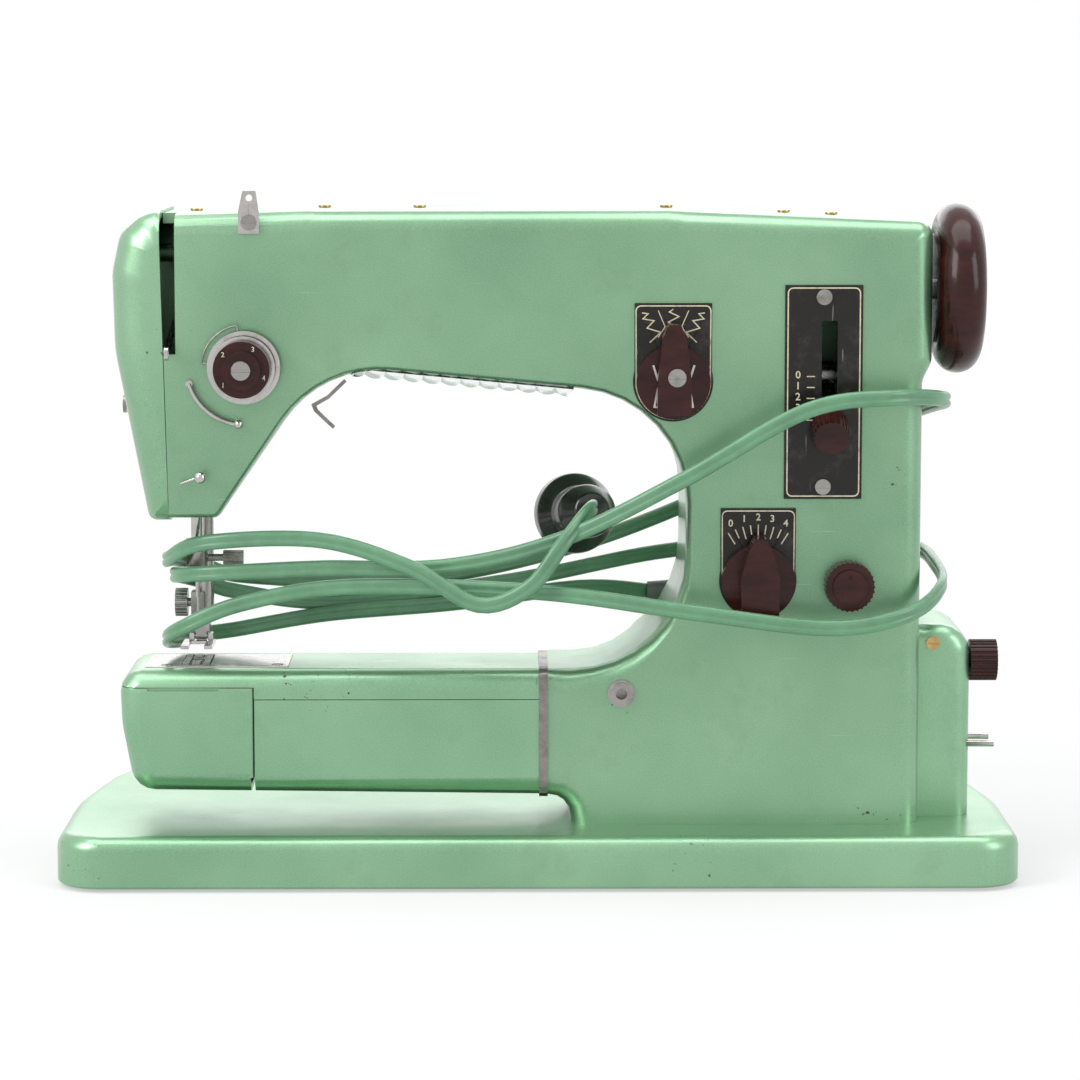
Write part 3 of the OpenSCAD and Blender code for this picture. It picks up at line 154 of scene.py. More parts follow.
MINT_DEEP = (0.155, 0.32, 0.182)
MINT_PALE = (0.23, 0.42, 0.25)
CHIP_BROWN = (0.05, 0.03, 0.018)

WORN_PLACES = [((36, -70, 82), 13), ((4, -70, 92), 14), ((-165, -70, 235), 10), ((-92, -68, 92), 34),
               ((150, -66, 24), 20), ((66, -92, 10), 22), ((-200, -95, 12), 20), ((154, -70, 180), 9),
               ((-30, -50, 93), 26), ((-120, -70, 160), 14)]


def enamel(name, painted_light_gain=1.0, worn=1.0):
    """Metallic green stove enamel under a clear gloss, with chips, hair scratches and edge wear. Its second
    argument scales the paint colour up for lighter copies of the same enamel, which is painted light.
    """
    m = Shader(name)
    cloud = m.noise(9, 4)
    flake = m.noise(1900, 1)
    # the colour scaled by the second argument is painted light on the lighter copies
    tone = m.mix(m.between(cloud, 0.35, 0.68), [c * painted_light_gain for c in MINT_DEEP], [c * painted_light_gain for c in MINT_PALE])
    tone = m.mix(m.between(flake, 0.35, 0.75, 0.0, 0.16), tone, (0.62, 0.78, 0.66))
    grime = m.between(m.noise(34, 6, 0.7), 0.56, 0.78, 0.0, 0.30)
    tone = m.mix(grime, tone, (0.12, 0.2, 0.13))
    place = None
    for centre, radius in WORN_PLACES:
        near = m.near(centre, radius)
        place = near if place is None else m.math("MAXIMUM", place, near)
    speck = m.noise(330, 4, 0.6)
    rare = m.between(speck, 0.745, 0.755)
    local = m.math("MULTIPLY", m.between(speck, 0.645, 0.66), place)
    chip = m.math("MULTIPLY", m.math("MAXIMUM", rare, m.between(local, 0.45, 0.55)), worn)
    hair = m.between(m.noise(1.0, 2, 0.5, m.stretched(26, 60, 1500)), 0.735, 0.75)
    hair = m.math("MULTIPLY", hair, m.between(m.noise(14, 2), 0.5, 0.62, 0.0, 0.5 * worn))
    rim = m.node("ShaderNodeBevel", samples=4)
    m.feed(rim.inputs["Radius"], 0.9 * MM)
    flat = m.node("ShaderNodeNewGeometry")
    turn = m.node("ShaderNodeVectorMath", operation="DOT_PRODUCT")
    m.feed(turn.inputs[0], rim.outputs["Normal"])
    m.feed(turn.inputs[1], flat.outputs["Normal"])
    edge = m.between(turn.outputs["Value"], 0.86, 0.95, 1.0, 0.0)
    edge = m.math("MULTIPLY", edge, m.between(m.noise(60, 4, 0.7), 0.5, 0.6, 0.0, 0.8 * worn))
    tone = m.mix(hair, tone, (0.55, 0.62, 0.56))
    tone = m.mix(edge, tone, (0.30, 0.27, 0.2))
    tone = m.mix(chip, tone, CHIP_BROWN)
    m.set(Base_Color=tone, Metallic=m.between(chip, 0, 1, 0.78, 0.2),
          Roughness=m.between(m.noise(26, 4), 0.3, 0.75, 0.30, 0.42),
          Coat_Weight=m.between(chip, 0, 1, 0.4, 0.0), Coat_Roughness=0.11)
    m.bump(m.math("SUBTRACT", m.math("MULTIPLY", m.noise(420, 2), 0.35), chip), 0.22, 0.12)
    return m.material


def bakelite(name, deep=(0.022, 0.0045, 0.0035), pale=(0.048, 0.010, 0.008)):
    """Brown moulded resin, polished, with faint flow marks, dust and rubbed places."""
    m = Shader(name)
    flow = m.noise(1.0, 5, 0.6, m.stretched(60, 60, 180))
    tone = m.mix(m.between(flow, 0.35, 0.7), deep, pale)
    dust = m.between(m.noise(900, 2), 0.7, 0.78, 0.0, 0.25)
    tone = m.mix(dust, tone, (0.11, 0.07, 0.06))
    m.set(Base_Color=tone, Roughness=m.between(m.noise(120, 4), 0.35, 0.7, 0.16, 0.3),
          Specular_IOR_Level=0.22, Coat_Weight=0.12, Coat_Roughness=0.05)
    m.bump(m.noise(300, 3), 0.06, 0.1)
    return m.material


def metal(name, tone=(0.62, 0.61, 0.58), rough=0.16, tarnish=0.5, grain=(1, 1, 1)):
    """Bright metal with fine grain, dull patches and dark specks of rust."""
    m = Shader(name)
    dull = m.between(m.noise(120, 5, 0.65), 0.45, 0.72, 0.0, tarnish)
    shade = m.mix(dull, tone, [c * k for c, k in zip(tone, (0.42, 0.36, 0.3))])
    shade = m.mix(m.between(m.noise(700, 3), 0.7, 0.74, 0.0, tarnish), shade, (0.09, 0.05, 0.03))
    lines = m.noise(900, 2, 0.5, m.stretched(*grain))
    grained = m.between(lines, 0.3, 0.7, rough, rough + 0.1)
    m.set(Base_Color=shade, Metallic=1.0, Roughness=m.math("ADD", grained, m.math("MULTIPLY", dull, 0.25)))
    m.bump(lines, 0.05, 0.05)
    return m.material


def black_plate(name):
    """Black lacquered dial plate with a soft gloss and scratches."""
    m = Shader(name)
    hair = m.between(m.noise(1.0, 2, 0.5, m.stretched(900, 900, 50)), 0.72, 0.75, 0.0, 0.5)
    cloud = m.between(m.noise(90, 5, 0.7), 0.52, 0.75, 0.0, 0.55)
    tone = m.mix(cloud, (0.012, 0.011, 0.010), (0.075, 0.07, 0.065))
    m.set(Base_Color=m.mix(hair, tone, (0.4, 0.39, 0.36)),
          Roughness=m.between(m.noise(60, 3), 0.3, 0.7, 0.14, 0.32),
          Metallic=0.1, Specular_IOR_Level=0.25, Coat_Weight=0.15, Coat_Roughness=0.08)
    m.bump(m.noise(260, 2), 0.05, 0.08)
    return m.material


def moulded(name, tone, rough=0.4, fleck=0.2, coat=0.0):
    """Plain moulded or rubber surface with a fine grain and dust."""
    m = Shader(name)
    cloud = m.between(m.noise(50, 5, 0.65), 0.3, 0.75)
    shade = m.mix(cloud, [c * 0.8 for c in tone], [min(1, c * 1.2) for c in tone])
    shade = m.mix(m.between(m.noise(800, 2), 0.68, 0.76, 0.0, fleck), shade, (0.3, 0.3, 0.28))
    m.set(Base_Color=shade, Roughness=m.between(m.noise(200, 3), 0.3, 0.7, rough - 0.06, rough + 0.08),
          Coat_Weight=coat, Coat_Roughness=0.1)
    m.bump(m.noise(1200, 2), 0.12, 0.05)
    return m.material


def print_ink(name, tone=(0.66, 0.60, 0.42)):
    """Cream print, slightly worn."""
    m = Shader(name)
    m.set(Base_Color=m.mix(m.between(m.noise(400, 4), 0.5, 0.75), tone, (0.36, 0.31, 0.2)), Roughness=0.5)
    m.bump(m.noise(1500, 2), 0.1, 0.02)
    return m.material


def clear(name, tone=(0.93, 0.96, 0.95), rough=0.04):
    """Clear glass or clear moulding with dust in its hollows."""
    m = Shader(name)
    dust = m.between(m.noise(240, 4), 0.5, 0.75, rough, rough + 0.12)
    m.set(Base_Color=m.mix(m.between(m.noise(60, 4), 0.4, 0.7), tone, [c * 0.88 for c in tone]),
          Roughness=dust, Transmission_Weight=1.0, IOR=1.49)
    return m.material


GREEN_LEAD = (0.125, 0.30, 0.165)
mats = {
    "enamel": enamel("green_enamel"),
    # Lighter copies of the same enamel for the arm, base, face cover and motor cover are painted light,
    # brighter where more light falls on those parts; their smaller wear values are real wear
    "arm": enamel("green_enamel_arm_painted_lighter", 1.14),
    "base": enamel("green_enamel_base_painted_lighter", 1.1, 0.8),
    "face": enamel("green_enamel_face_painted_lighter", 1.06, 0.7),
    "cover": enamel("green_enamel_cover_painted_lighter", 1.16, 0.6),
    "brown": bakelite("brown_bakelite"),
    "chrome": metal("bright_chrome", (0.50, 0.49, 0.475), 0.07, 0.4),
    "steel": metal("steel", (0.34, 0.33, 0.315), 0.2, 0.6),
    "ground": metal("ground_steel", (0.40, 0.39, 0.375), 0.22, 0.4, (8, 1, 1)),
    "wire": metal("spring_wire", (0.27, 0.26, 0.245), 0.25, 0.6),
    "brass": metal("brass", (0.55, 0.38, 0.16), 0.2, 0.6),
    "plate": metal("plate_chrome", (0.56, 0.55, 0.53), 0.1, 0.3, (1, 9, 1)),
    "alloy": metal("cast_alloy", (0.42, 0.42, 0.42), 0.42, 0.4),
    "iron": moulded("grey_iron_paint", (0.09, 0.095, 0.095), 0.45, 0.1),
    "black": black_plate("black_dial_plate"),
    "black_resin": moulded("black_resin", (0.014, 0.013, 0.012), 0.2, 0.12, 0.3),
    "rubber": moulded("black_rubber", (0.025, 0.025, 0.025), 0.6, 0.3),
    "lead": moulded("green_lead", GREEN_LEAD, 0.36, 0.08, 0.25),
    "sleeve": moulded("grey_sleeve", (0.16, 0.17, 0.16), 0.5, 0.2),
    "cream": print_ink("cream_print"),
    "glass": clear("clear_lens"),
    "bulb": clear("bulb_glass", (0.97, 0.97, 0.95), 0.02),
}

NODE_MATERIAL = {
    "base": "base", "base_feet": "rubber", "body": "enamel", "arm_joint_ring": "wire", "free_arm": "arm",
    "arm_front_cover": "arm", "shuttle_cover": "arm", "needle_plate": "plate", "feed_dog": "steel",
    "face_cover": "face", "cover_screws": "steel", "thread_guide": "chrome", "oil_caps": "brass",
    "tension_cup": "chrome", "tension_dial": "brown", "check_spring": "wire", "thread_guard": "chrome",
    "thread_pin": "chrome", "pattern_plate": "black", "pattern_knob": "brown", "stitch_plate": "black",
    "stitch_lever": "brown", "width_plate": "black", "width_knob": "brown", "feed_knob_ring": "brown",
    "feed_knob": "brown", "accessory_socket": "steel", "bushes": "brass", "main_shaft": "ground",
    "handwheel": "brown", "clutch_knob": "brown", "timing_belt": "rubber", "lower_shaft": "ground",
    "hook": "steel", "bobbin_case": "steel", "bobbin": "chrome", "motor": "iron", "motor_shaft": "ground",
    "motor_belt": "rubber", "motor_bracket": "alloy", "motor_cover": "cover", "inlet_block": "black_resin",
    "switch_knob": "brown", "lamp_holder": "black_resin", "lamp_bulb": "bulb", "lamp_lens": "glass",
    "lens_clip": "wire", "needle_bar": "chrome", "needle_clamp": "steel", "needle": "chrome",
    "needle_bar_link": "steel", "take_up_lever": "chrome", "presser_bar": "ground", "presser_spring": "wire",
    "presser_foot": "chrome", "presser_lifter": "chrome", "cord_sleeve": "sleeve", "cord": "lead",
    "plug": "black_resin", "plug_pins": "chrome",
}

SOFT_EDGE = {
    "pattern_knob": 1.1, "width_knob": 1.1, "handwheel": 0.0, "feed_knob": 0.4, "tension_dial": 0.5,
    "clutch_knob": 0.4, "tension_cup": 0.25, "pattern_plate": 0.3, "stitch_plate": 0.3, "width_plate": 0.3,
    "needle_plate": 0.25, "presser_foot": 0.25, "needle_clamp": 0.3, "thread_guide": 0.2, "lens_clip": 0.2,
    "inlet_block": 0.6, "cord_sleeve": 0.6, "take_up_lever": 0.4, "presser_lifter": 0.5, "cover_screws": 0.2,
    "accessory_socket": 0.4, "oil_caps": 0.2,
}
SPLIT_ANGLE = math.radians(34)


def finish_surface(obj, soft_edge=0.0):
    """Joins the triangles' corners, rounds sharp edges and shades curved faces smoothly."""
    obj.data.shade_smooth()
    weld = obj.modifiers.new("join", "WELD")
    weld.merge_threshold = 0.002 * MM
    if soft_edge:
        bevel = obj.modifiers.new("soft_edge", "BEVEL")
        bevel.width = soft_edge * MM
        bevel.segments = 2
        bevel.limit_method = "ANGLE"
        bevel.angle_limit = math.radians(40)
    split = obj.modifiers.new("split", "EDGE_SPLIT")
    split.split_angle = SPLIT_ANGLE
    even = obj.modifiers.new("even", "WEIGHTED_NORMAL")
    even.keep_sharp = True


def paint_where(obj, material, test):
    """Gives another material to the faces whose middle, in millimetres, passes the test."""
    obj.data.materials.append(mats[material])
    last = len(obj.data.materials) - 1
    for face in obj.data.polygons:
        if test(face.center / MM):
            face.material_index = last


for name, obj in nodes.items():
    obj.data.materials.clear()
    obj.data.materials.append(mats[NODE_MATERIAL[name]])
    finish_surface(obj, SOFT_EDGE.get(name, 0.0))

# Places of the controls, on the front face
TENSION_AT = (-127, 225.8)
PATTERN_AT = (58.5, 219.2)
WIDTH_AT = (95.8, 132.2)
STITCH_PIVOT = Vector((126.25, -37, 219))
STITCH_AXIS = Vector((0, -math.sin(math.radians(115)), math.cos(math.radians(115))))


def within(c, at, radius):
    return math.hypot(c.x - at[0], c.z - at[1]) < radius


paint_where(nodes["tension_dial"], "steel", lambda c: c.y < -93.8 and within(c, TENSION_AT, 4.4))
paint_where(nodes["pattern_knob"], "steel", lambda c: c.y < -88.2 and within(c, (59.5, 222.2), 4.3))
paint_where(nodes["stitch_lever"], "steel", lambda c: (c - STITCH_PIVOT).dot(STITCH_AXIS) < 42.3)
paint_where(nodes["inlet_block"], "chrome", lambda c: c.x > 192.6 and abs(c.z - 55.6) < 3.5)
paint_where(nodes["cover_screws"], "brass", lambda c: c.x > 168)


# ---------- making pieces ----------

def add_piece(name, mesh_or_bm, body, material, soft_edge=0.0, surface=True):
    """Links a mesh as a piece of its own that rides on a body and takes its finish from a slot."""
    mesh = mesh_or_bm
    if isinstance(mesh_or_bm, bmesh.types.BMesh):
        mesh = bpy.data.meshes.new(name)
        mesh_or_bm.to_mesh(mesh)
        mesh_or_bm.free()
    obj = bpy.data.objects.new(name, mesh)
    scene.collection.objects.link(obj)
    mesh.materials.clear()
    mesh.materials.append(mats[material])
    if surface:
        finish_surface(obj, soft_edge)
    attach(obj, body)
    return obj


def strip(bm, line, width, front, depth, closed=False):
    """A flat strip along a line of (x, z) places, its front at y = front, in millimetres."""
    n = len(line)
    left, right = [], []
    for i, p in enumerate(line):
        before = line[i - 1] if i or closed else None
        after = line[(i + 1) % n] if i < n - 1 or closed else None
        ways = [Vector((q[0] - r[0], q[1] - r[1])).normalized()
                for r, q in ((before, p), (p, after)) if r is not None and q is not None]
        way = sum(ways, Vector((0, 0))).normalized()
        side = Vector((-way.y, way.x))
        reach = width / 2 / max(0.35, side.dot(Vector((-ways[0].y, ways[0].x))))
        for row, sign in ((left, 1), (right, -1)):
            x, z = p[0] + side.x * reach * sign, p[1] + side.y * reach * sign
            row.append((bm.verts.new(point(x, front, z)), bm.verts.new(point(x, front + depth, z))))
    for i in range(n if closed else n - 1):
        j = (i + 1) % n
        a, b, c, d = left[i], left[j], right[j], right[i]
        for ring in ((a[0], b[0], c[0], d[0]), (a[1], d[1], c[1], b[1]), (a[0], a[1], b[1], b[0]),
                     (d[0], c[0], c[1], d[1])):
            bm.faces.new(ring)
    if not closed:
        for i in (0, n - 1):
            bm.faces.new((left[i][0], right[i][0], right[i][1], left[i][1]))


def figure(bm, text, size, x, z, front, depth=0.06, turn=0.0):
    """Adds a raised figure centred at x, z to bm, all in millimetres."""
    curve = bpy.data.curves.new("figure", "FONT")
    curve.body = text
    curve.size = size * MM
    curve.align_x = "CENTER"
    curve.align_y = "CENTER"
    curve.extrude = depth / 2 * MM
    curve.offset = 0.012 * size * MM
    curve.resolution_u = 3
    holder = bpy.data.objects.new("figure", curve)
    mesh = bpy.data.meshes.new_from_object(holder)
    place = Matrix.Translation(point(x, front + depth / 2, z)) @ Matrix.Rotation(math.radians(90), 4, "X")
    mesh.transform(place @ Matrix.Rotation(math.radians(turn), 4, "Z"))
    bm.from_mesh(mesh)
    bpy.data.objects.remove(holder)
    bpy.data.curves.remove(curve)
    bpy.data.meshes.remove(mesh)


def arc_points(at, radius, start, end, steps):
    """Places on an arc round at, from start to end in degrees, measured from +X towards +Z."""
    return [(at[0] + radius * math.cos(math.radians(start + (end - start) * k / steps)),
             at[1] + radius * math.sin(math.radians(start + (end - start) * k / steps)))
            for k in range(steps + 1)]


# ---------- mains lead ----------

LEAD_WIDTH = 7
LEAD_THICK = 4
LEAD_STEP = 4
LEAD_EXIT = (51, 24, 115)
LEAD_ROUTE = [
    LEAD_EXIT, (20, 14, 118), (-38, -3, 113), (-95, -9, 109), (-138, -7, 101.5),
    (-154.5, -7.5, 99.5), (-161, -18, 98.5), (-165, -39, 102), (-157, -58, 109.5), (-130, -62, 121),
    (-82, -66, 129), (0, -84, 129), (65, -97, 122), (125, -97, 115), (160, -89, 120),
    (177, -63, 129), (178, -18, 134), (174, 12, 136), (157, 25, 137), (105, 26, 137),
    (55, 23, 133), (-14, 4, 122), (-90, -5, 114), (-135, -8, 119), (-152, -10, 124.5),
    (-161, -22, 128.5), (-159.5, -44, 131.5), (-142, -58, 134), (-95, -64, 137), (-40, -74, 139),
    (10, -84, 152), (62, -96, 179), (115, -98, 209), (155, -93, 214), (177, -66, 211),
    (178, -18, 205), (174, 12, 200), (157, 26, 192), (105, 28, 170), (24, 16, 139),
    (-55, 5, 123), (-130, 0, 125), (-152, -4, 131), (-163, -18, 135.5), (-163.5, -42, 138.5),
    (-145, -62, 148), (-95, -70, 150), (-55, -80, 139), (-26, -88, 124), (-4, -92, 132),
    (10, -91, 150), (20, -80, 162), (24, -66, 164), (24, -52, 161)]


def smooth_route(places, step):
    """Points on a Catmull-Rom curve through the places, about step apart."""
    p = [Vector(q) for q in places]
    out = []
    for i in range(len(p) - 1):
        a, b, c, d = p[max(i - 1, 0)], p[i], p[i + 1], p[min(i + 2, len(p) - 1)]
        count = max(1, round((c - b).length / step))
        for k in range(count):
            t = k / count
            out.append(0.5 * (2 * b + (c - a) * t + (2 * a - 5 * b + 4 * c - d) * t * t
                              + (3 * b - a - 3 * c + d) * t ** 3))
    return out + [p[-1]]


def lead_section():
    """Outline of the flat twin lead: two round cores side by side with a groove between them."""
    radius = LEAD_THICK / 2
    centre = (LEAD_WIDTH - LEAD_THICK) / 2
    open_angle = math.degrees(math.asin(centre / radius))
    lobe = [(radius * math.cos(math.radians(a)), centre + radius * math.sin(math.radians(a)))
            for a in [-open_angle + (180 + 2 * open_angle) * k / 9 for k in range(10)]]
    return lobe + [(-s, -u) for s, u in lobe[1:-1]]


def make_lead():
    line = smooth_route(LEAD_ROUTE, LEAD_STEP)
    section = lead_section()
    bm = bmesh.new()
    rings = []
    for i, at in enumerate(line):
        way = (line[min(i + 1, len(line) - 1)] - line[max(i - 1, 0)]).normalized()
        side = way.cross(Vector((0, 0, 1))).normalized()
        up = side.cross(way)
        rings.append([bm.verts.new((at + side * s + up * u) * MM) for s, u in section])
    for a, b in zip(rings, rings[1:]):
        for i in range(len(section)):
            j = (i + 1) % len(section)
            bm.faces.new((a[i], a[j], b[j], b[i]))
    bm.faces.new(rings[0][::-1])
    bm.faces.new(rings[-1])
    bmesh.ops.recalc_face_normals(bm, faces=bm.faces)
    return add_piece("lead", bm, "machine", "lead", surface=False), line


def make_plug():
    """Round plug with a lobed grip, lathed along its own axis in steps of (height, radius, waist)."""
    profile = [(0, 4.6, 0), (0.2, 7.2, 0), (1.0, 8.2, 0), (7.2, 11.6, 0.02), (8.2, 12.9, 0.08),
               (9.2, 13.4, 0.12), (17.6, 13.4, 0.14), (19.0, 13.7, 0.1), (21.5, 15.2, 0.04),
               (25.2, 17.4, 0), (26.2, 17.9, 0), (27.0, 18.0, 0), (31.8, 18.0, 0), (32.7, 17.6, 0),
               (33.0, 16.8, 0), (33.0, 0.6, 0)]
    steps = 64
    place = (Matrix.Translation(point(*LEAD_ROUTE[-1])) @ Matrix.Rotation(math.radians(15), 4, "Z")
             @ Matrix.Rotation(math.radians(-99), 4, "X"))
    bm = bmesh.new()
    rings = []
    for height, radius, waist in profile:
        ring = []
        for k in range(steps):
            a = 2 * math.pi * k / steps
            r = radius * (1 - waist * (1 - math.cos(2 * a)) / 2)
            ring.append(bm.verts.new(place @ point(r * math.cos(a), r * math.sin(a), height)))
        rings.append(ring)
    for a, b in zip(rings, rings[1:]):
        for i in range(steps):
            j = (i + 1) % steps
            bm.faces.new((a[i], a[j], b[j], b[i]))
    bm.faces.new(rings[0][::-1])
    bm.faces.new(rings[-1])
    bmesh.ops.recalc_face_normals(bm, faces=bm.faces)
    return add_piece("plug_shell", bm, "machine", "black_resin")


lead, lead_line = make_lead()
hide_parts("cord")
lead.data.shade_smooth()
plug = make_plug()
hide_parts("plug")


# ---------- prints on the dial plates ----------

INK = 0.06              # how far a print stands proud of its plate
INK_DEPTH = INK + 0.02  # its thickness, a little into the plate
DIAL_FACE = -91.4       # y of the tension dial's face
CLIP_FRONT = -77.4      # y of the pattern knob's clip


def plate_outline(box_name, inset, at=None, radius=0.0):
    """Frame line of a plate: its rounded box, or a box whose lower end is a round of the radius."""
    low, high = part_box(box_name)
    x0, x1, z1 = low[0] / MM + inset, high[0] / MM - inset, high[2] / MM - inset
    corner = 2.2
    top = (arc_points((x1 - corner, z1 - corner), corner, 0, 90, 4)
           + arc_points((x0 + corner, z1 - corner), corner, 90, 180, 4))
    if at is None:
        z0 = low[2] / MM + inset
        return top + (arc_points((x0 + corner, z0 + corner), corner, 180, 270, 4)
                      + arc_points((x1 - corner, z0 + corner), corner, 270, 360, 4))
    return top + arc_points(at, radius - inset, 180 + 8, 352, 20)


def prints(name, y_front, draw):
    bm = bmesh.new()
    draw(bm, y_front)
    bmesh.ops.recalc_face_normals(bm, faces=bm.faces)
    return add_piece(name, bm, "machine", "cream", surface=False)


def front_of(node):
    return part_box(node)[0][1] / MM - INK


def draw_stitch(bm, y):
    strip(bm, plate_outline("stitch_plate", 1.3), 0.55, y, INK_DEPTH, closed=True)
    x_figures = 112.6
    for i in range(5):
        z = 222.0 - 4.75 * i
        figure(bm, str(i), 4.6, x_figures, z, y)
        strip(bm, [(116.4, z - 0.6), (119.9, z - 0.6)], 0.45, y, INK_DEPTH)


def draw_width(bm, y):
    strip(bm, plate_outline("width_plate", 1.2, WIDTH_AT, 16.9), 0.5, y, INK_DEPTH, closed=True)
    for i in range(5):
        angle = math.radians(90 + 25 - 12.5 * i)
        way = Vector((math.cos(angle), math.sin(angle)))
        figure(bm, str(i), 4.3, WIDTH_AT[0] + way.x * 28.4, WIDTH_AT[1] + way.y * 28.4 - 0.6, y)
    for i in range(9):
        angle = math.radians(90 + 32 - 8 * i)
        inner = 20.4 if i % 2 else 19.0
        ends = [(WIDTH_AT[0] + math.cos(angle) * r, WIDTH_AT[1] + math.sin(angle) * r) for r in (inner, 24.6)]
        strip(bm, ends, 0.5, y, INK_DEPTH)


def draw_pattern(bm, y):
    strip(bm, plate_outline("pattern_plate", 1.2, PATTERN_AT, 17.4), 0.55, y, INK_DEPTH, closed=True)
    top = 250.6
    middle = [(0, 0), (-1.8, -1.2), (2.4, -3.2), (-2.2, -5.6), (1.6, -7.8)]
    strip(bm, [(PATTERN_AT[0] + x, top + z) for x, z in middle], 0.5, y, INK_DEPTH)
    side = [(-13.6, -1.6), (-11.0, -2.0), (-13.2, -4.2), (-8.4, -5.0), (-11.4, -8.2), (-5.4, -10.0),
            (-10.2, -14.4)]
    ray = [(-6.6, -0.6), (-3.6, -7.6), (-6.6, -12.2)]
    for sign in (1, -1):
        strip(bm, [(PATTERN_AT[0] + sign * x, top + z) for x, z in side], 0.5, y, INK_DEPTH)
        strip(bm, [(PATTERN_AT[0] + sign * x, top + z) for x, z in ray], 0.4, y, INK_DEPTH)


prints("stitch_print", front_of("stitch_plate"), draw_stitch)
prints("width_print", front_of("width_plate"), draw_width)
prints("pattern_print", front_of("pattern_plate"), draw_pattern)


def tension_figures():
    bm = bmesh.new()
    for i, text in enumerate("1234"):
        angle = 220 - 80 * i
        x = TENSION_AT[0] + 10.2 * math.cos(math.radians(angle))
        z = TENSION_AT[1] + 10.2 * math.sin(math.radians(angle))
        figure(bm, text, 3.0, x, z, DIAL_FACE - INK, turn=0)
    piece = add_piece("tension_figures", bm, "tension", "cream", surface=False)
    return piece


tension_figures()


def pattern_clip():
    """Sprung steel clip that frames the pattern knob's pointer."""
    bm = bmesh.new()
    left = [(-8.9, 7.6), (-6.4, -0.2), (-8.3, -10.4), (-0.2, -12.0)]
    strip(bm, [(PATTERN_AT[0] + x, PATTERN_AT[1] + z) for x, z in
               left + [(-x, z) for x, z in left[-2::-1]]], 0.9, CLIP_FRONT, 1.6)
    bmesh.ops.recalc_face_normals(bm, faces=bm.faces)
    return add_piece("pattern_clip", bm, "pattern", "chrome")


pattern_clip()


def fluted_lens():
    """Clear lamp lens: a bar whose underside is a row of round flutes, under the upper arm."""
    low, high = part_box("lamp_lens")
    x0, x1 = low[0] / MM + 0.4, high[0] / MM - 0.4
    slope_from, slope_to = (-93.5, 226), (64.5, 211.2)
    slope = (slope_from[1] - slope_to[1]) / (slope_to[0] - slope_from[0])
    pitch = 8.3
    bm = bmesh.new()
    steps = 8 * round((x1 - x0) / pitch)
    top, bottom = [], []
    for k in range(steps + 1):
        x = x0 + (x1 - x0) * k / steps
        under = slope_from[1] - (x - slope_from[0]) * slope
        ends = min(1, (x - x0) / 3, (x1 - x) / 3)
        flute = abs(math.sin(math.pi * (x - x0) / pitch)) ** 0.6
        top.append((x, under - 0.35))
        bottom.append((x, under - 0.6 - ends * (1.4 + 1.7 * flute)))
    outline = top + bottom[::-1]
    rings = [[bm.verts.new(point(x, y, z)) for x, z in outline] for y in (low[1] / MM, high[1] / MM)]
    n = len(outline)
    for i in range(n):
        j = (i + 1) % n
        bm.faces.new((rings[0][i], rings[0][j], rings[1][j], rings[1][i]))
    for ring in rings:
        for k in range(steps):
            bm.faces.new((ring[k], ring[k + 1], ring[n - 2 - k], ring[n - 1 - k]))
    bmesh.ops.recalc_face_normals(bm, faces=bm.faces)
    piece = add_piece("fluted_lens", bm, "machine", "glass")
    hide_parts("lamp_lens")
    return piece


fluted_lens()


# ---------- studio ----------

def seen_white(tree):
    """1 on the rays that show a surface to the camera, straight, mirrored or through glass."""
    path = tree.nodes.new("ShaderNodeLightPath")
    seen = path.outputs["Is Camera Ray"]
    for other in ("Is Glossy Ray", "Is Transmission Ray"):
        either = tree.nodes.new("ShaderNodeMath")
        either.operation = "MAXIMUM"
        tree.links.new(seen, either.inputs[0])
        tree.links.new(path.outputs[other], either.inputs[1])
        seen = either.outputs[0]
    return seen


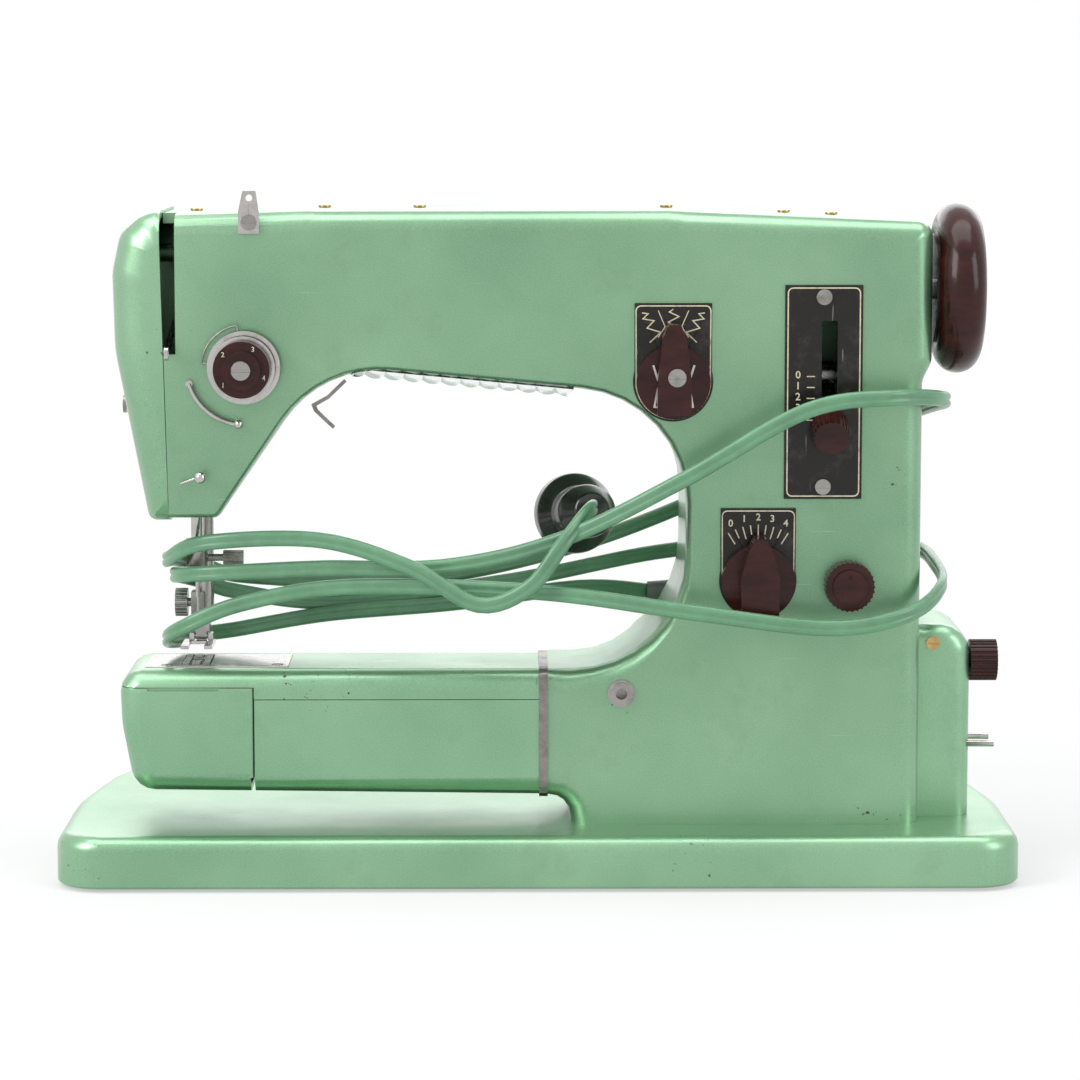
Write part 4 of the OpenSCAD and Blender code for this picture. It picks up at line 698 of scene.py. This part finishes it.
def floor():
    """Pale floor that keeps the part's shadow near it and runs out to plain white."""
    bm = bmesh.new()
    bmesh.ops.create_grid(bm, x_segments=1, y_segments=1, size=7)
    mesh = bpy.data.meshes.new("floor")
    bm.to_mesh(mesh)
    bm.free()
    obj = bpy.data.objects.new("floor", mesh)
    scene.collection.objects.link(obj)
    material = bpy.data.materials.new("floor_white")
    material.use_nodes = True
    tree = material.node_tree
    skin = tree.nodes["Principled BSDF"]
    skin.inputs["Base Color"].default_value = (0.8, 0.8, 0.8, 1)
    skin.inputs["Roughness"].default_value = 0.9
    place = tree.nodes.new("ShaderNodeTexCoord")
    away = tree.nodes.new("ShaderNodeVectorMath")
    away.operation = "LENGTH"
    tree.links.new(place.outputs["Object"], away.inputs[0])
    far = tree.nodes.new("ShaderNodeMapRange")
    far.inputs["From Min"].default_value = 0.22
    far.inputs["From Max"].default_value = 0.55
    far.inputs["To Min"].default_value = 0.5
    tree.links.new(away.outputs["Value"], far.inputs["Value"])
    share = tree.nodes.new("ShaderNodeMath")
    share.operation = "MULTIPLY"
    tree.links.new(far.outputs["Result"], share.inputs[0])
    tree.links.new(seen_white(tree), share.inputs[1])
    white = tree.nodes.new("ShaderNodeEmission")
    blend = tree.nodes.new("ShaderNodeMixShader")
    tree.links.new(share.outputs[0], blend.inputs[0])
    tree.links.new(skin.outputs["BSDF"], blend.inputs[1])
    tree.links.new(white.outputs["Emission"], blend.inputs[2])
    tree.links.new(blend.outputs["Shader"], tree.nodes["Material Output"].inputs["Surface"])
    mesh.materials.append(material)


def lamp(name, at, aim, size, power):
    data = bpy.data.lights.new(name, "AREA")
    data.shape = "RECTANGLE"
    data.size, data.size_y = size
    data.energy = power
    obj = bpy.data.objects.new(name, data)
    obj.location = Vector(at)
    obj.rotation_euler = (Vector(aim) - obj.location).to_track_quat("-Z", "Y").to_euler()
    scene.collection.objects.link(obj)


def studio_world():
    """White where it is seen, softer as a light."""
    world = bpy.data.worlds.new("studio")
    world.use_nodes = True
    tree = world.node_tree
    tree.nodes.clear()
    soft = tree.nodes.new("ShaderNodeBackground")
    soft.inputs["Color"].default_value = (0.96, 0.98, 1, 1)
    soft.inputs["Strength"].default_value = 0.4
    white = tree.nodes.new("ShaderNodeBackground")
    white.inputs["Color"].default_value = (1, 1, 1, 1)
    blend = tree.nodes.new("ShaderNodeMixShader")
    tree.links.new(seen_white(tree), blend.inputs[0])
    tree.links.new(soft.outputs[0], blend.inputs[1])
    tree.links.new(white.outputs[0], blend.inputs[2])
    out = tree.nodes.new("ShaderNodeOutputWorld")
    tree.links.new(blend.outputs[0], out.inputs["Surface"])
    scene.world = world


floor()
studio_world()
lamp("key", (-1.5, -1.1, 1.3), (-0.05, 0, 0.15), (1.0, 1.3), 26)
lamp("fill", (1.6, -1.0, 0.9), (0, 0, 0.15), (0.7, 1.3), 10)
lamp("top", (0, -0.1, 1.7), (0, 0, 0), (2.0, 1.0), 18)
lamp("back", (0.2, 1.6, 0.9), (0, 0, 0.2), (2.2, 1.0), 10)
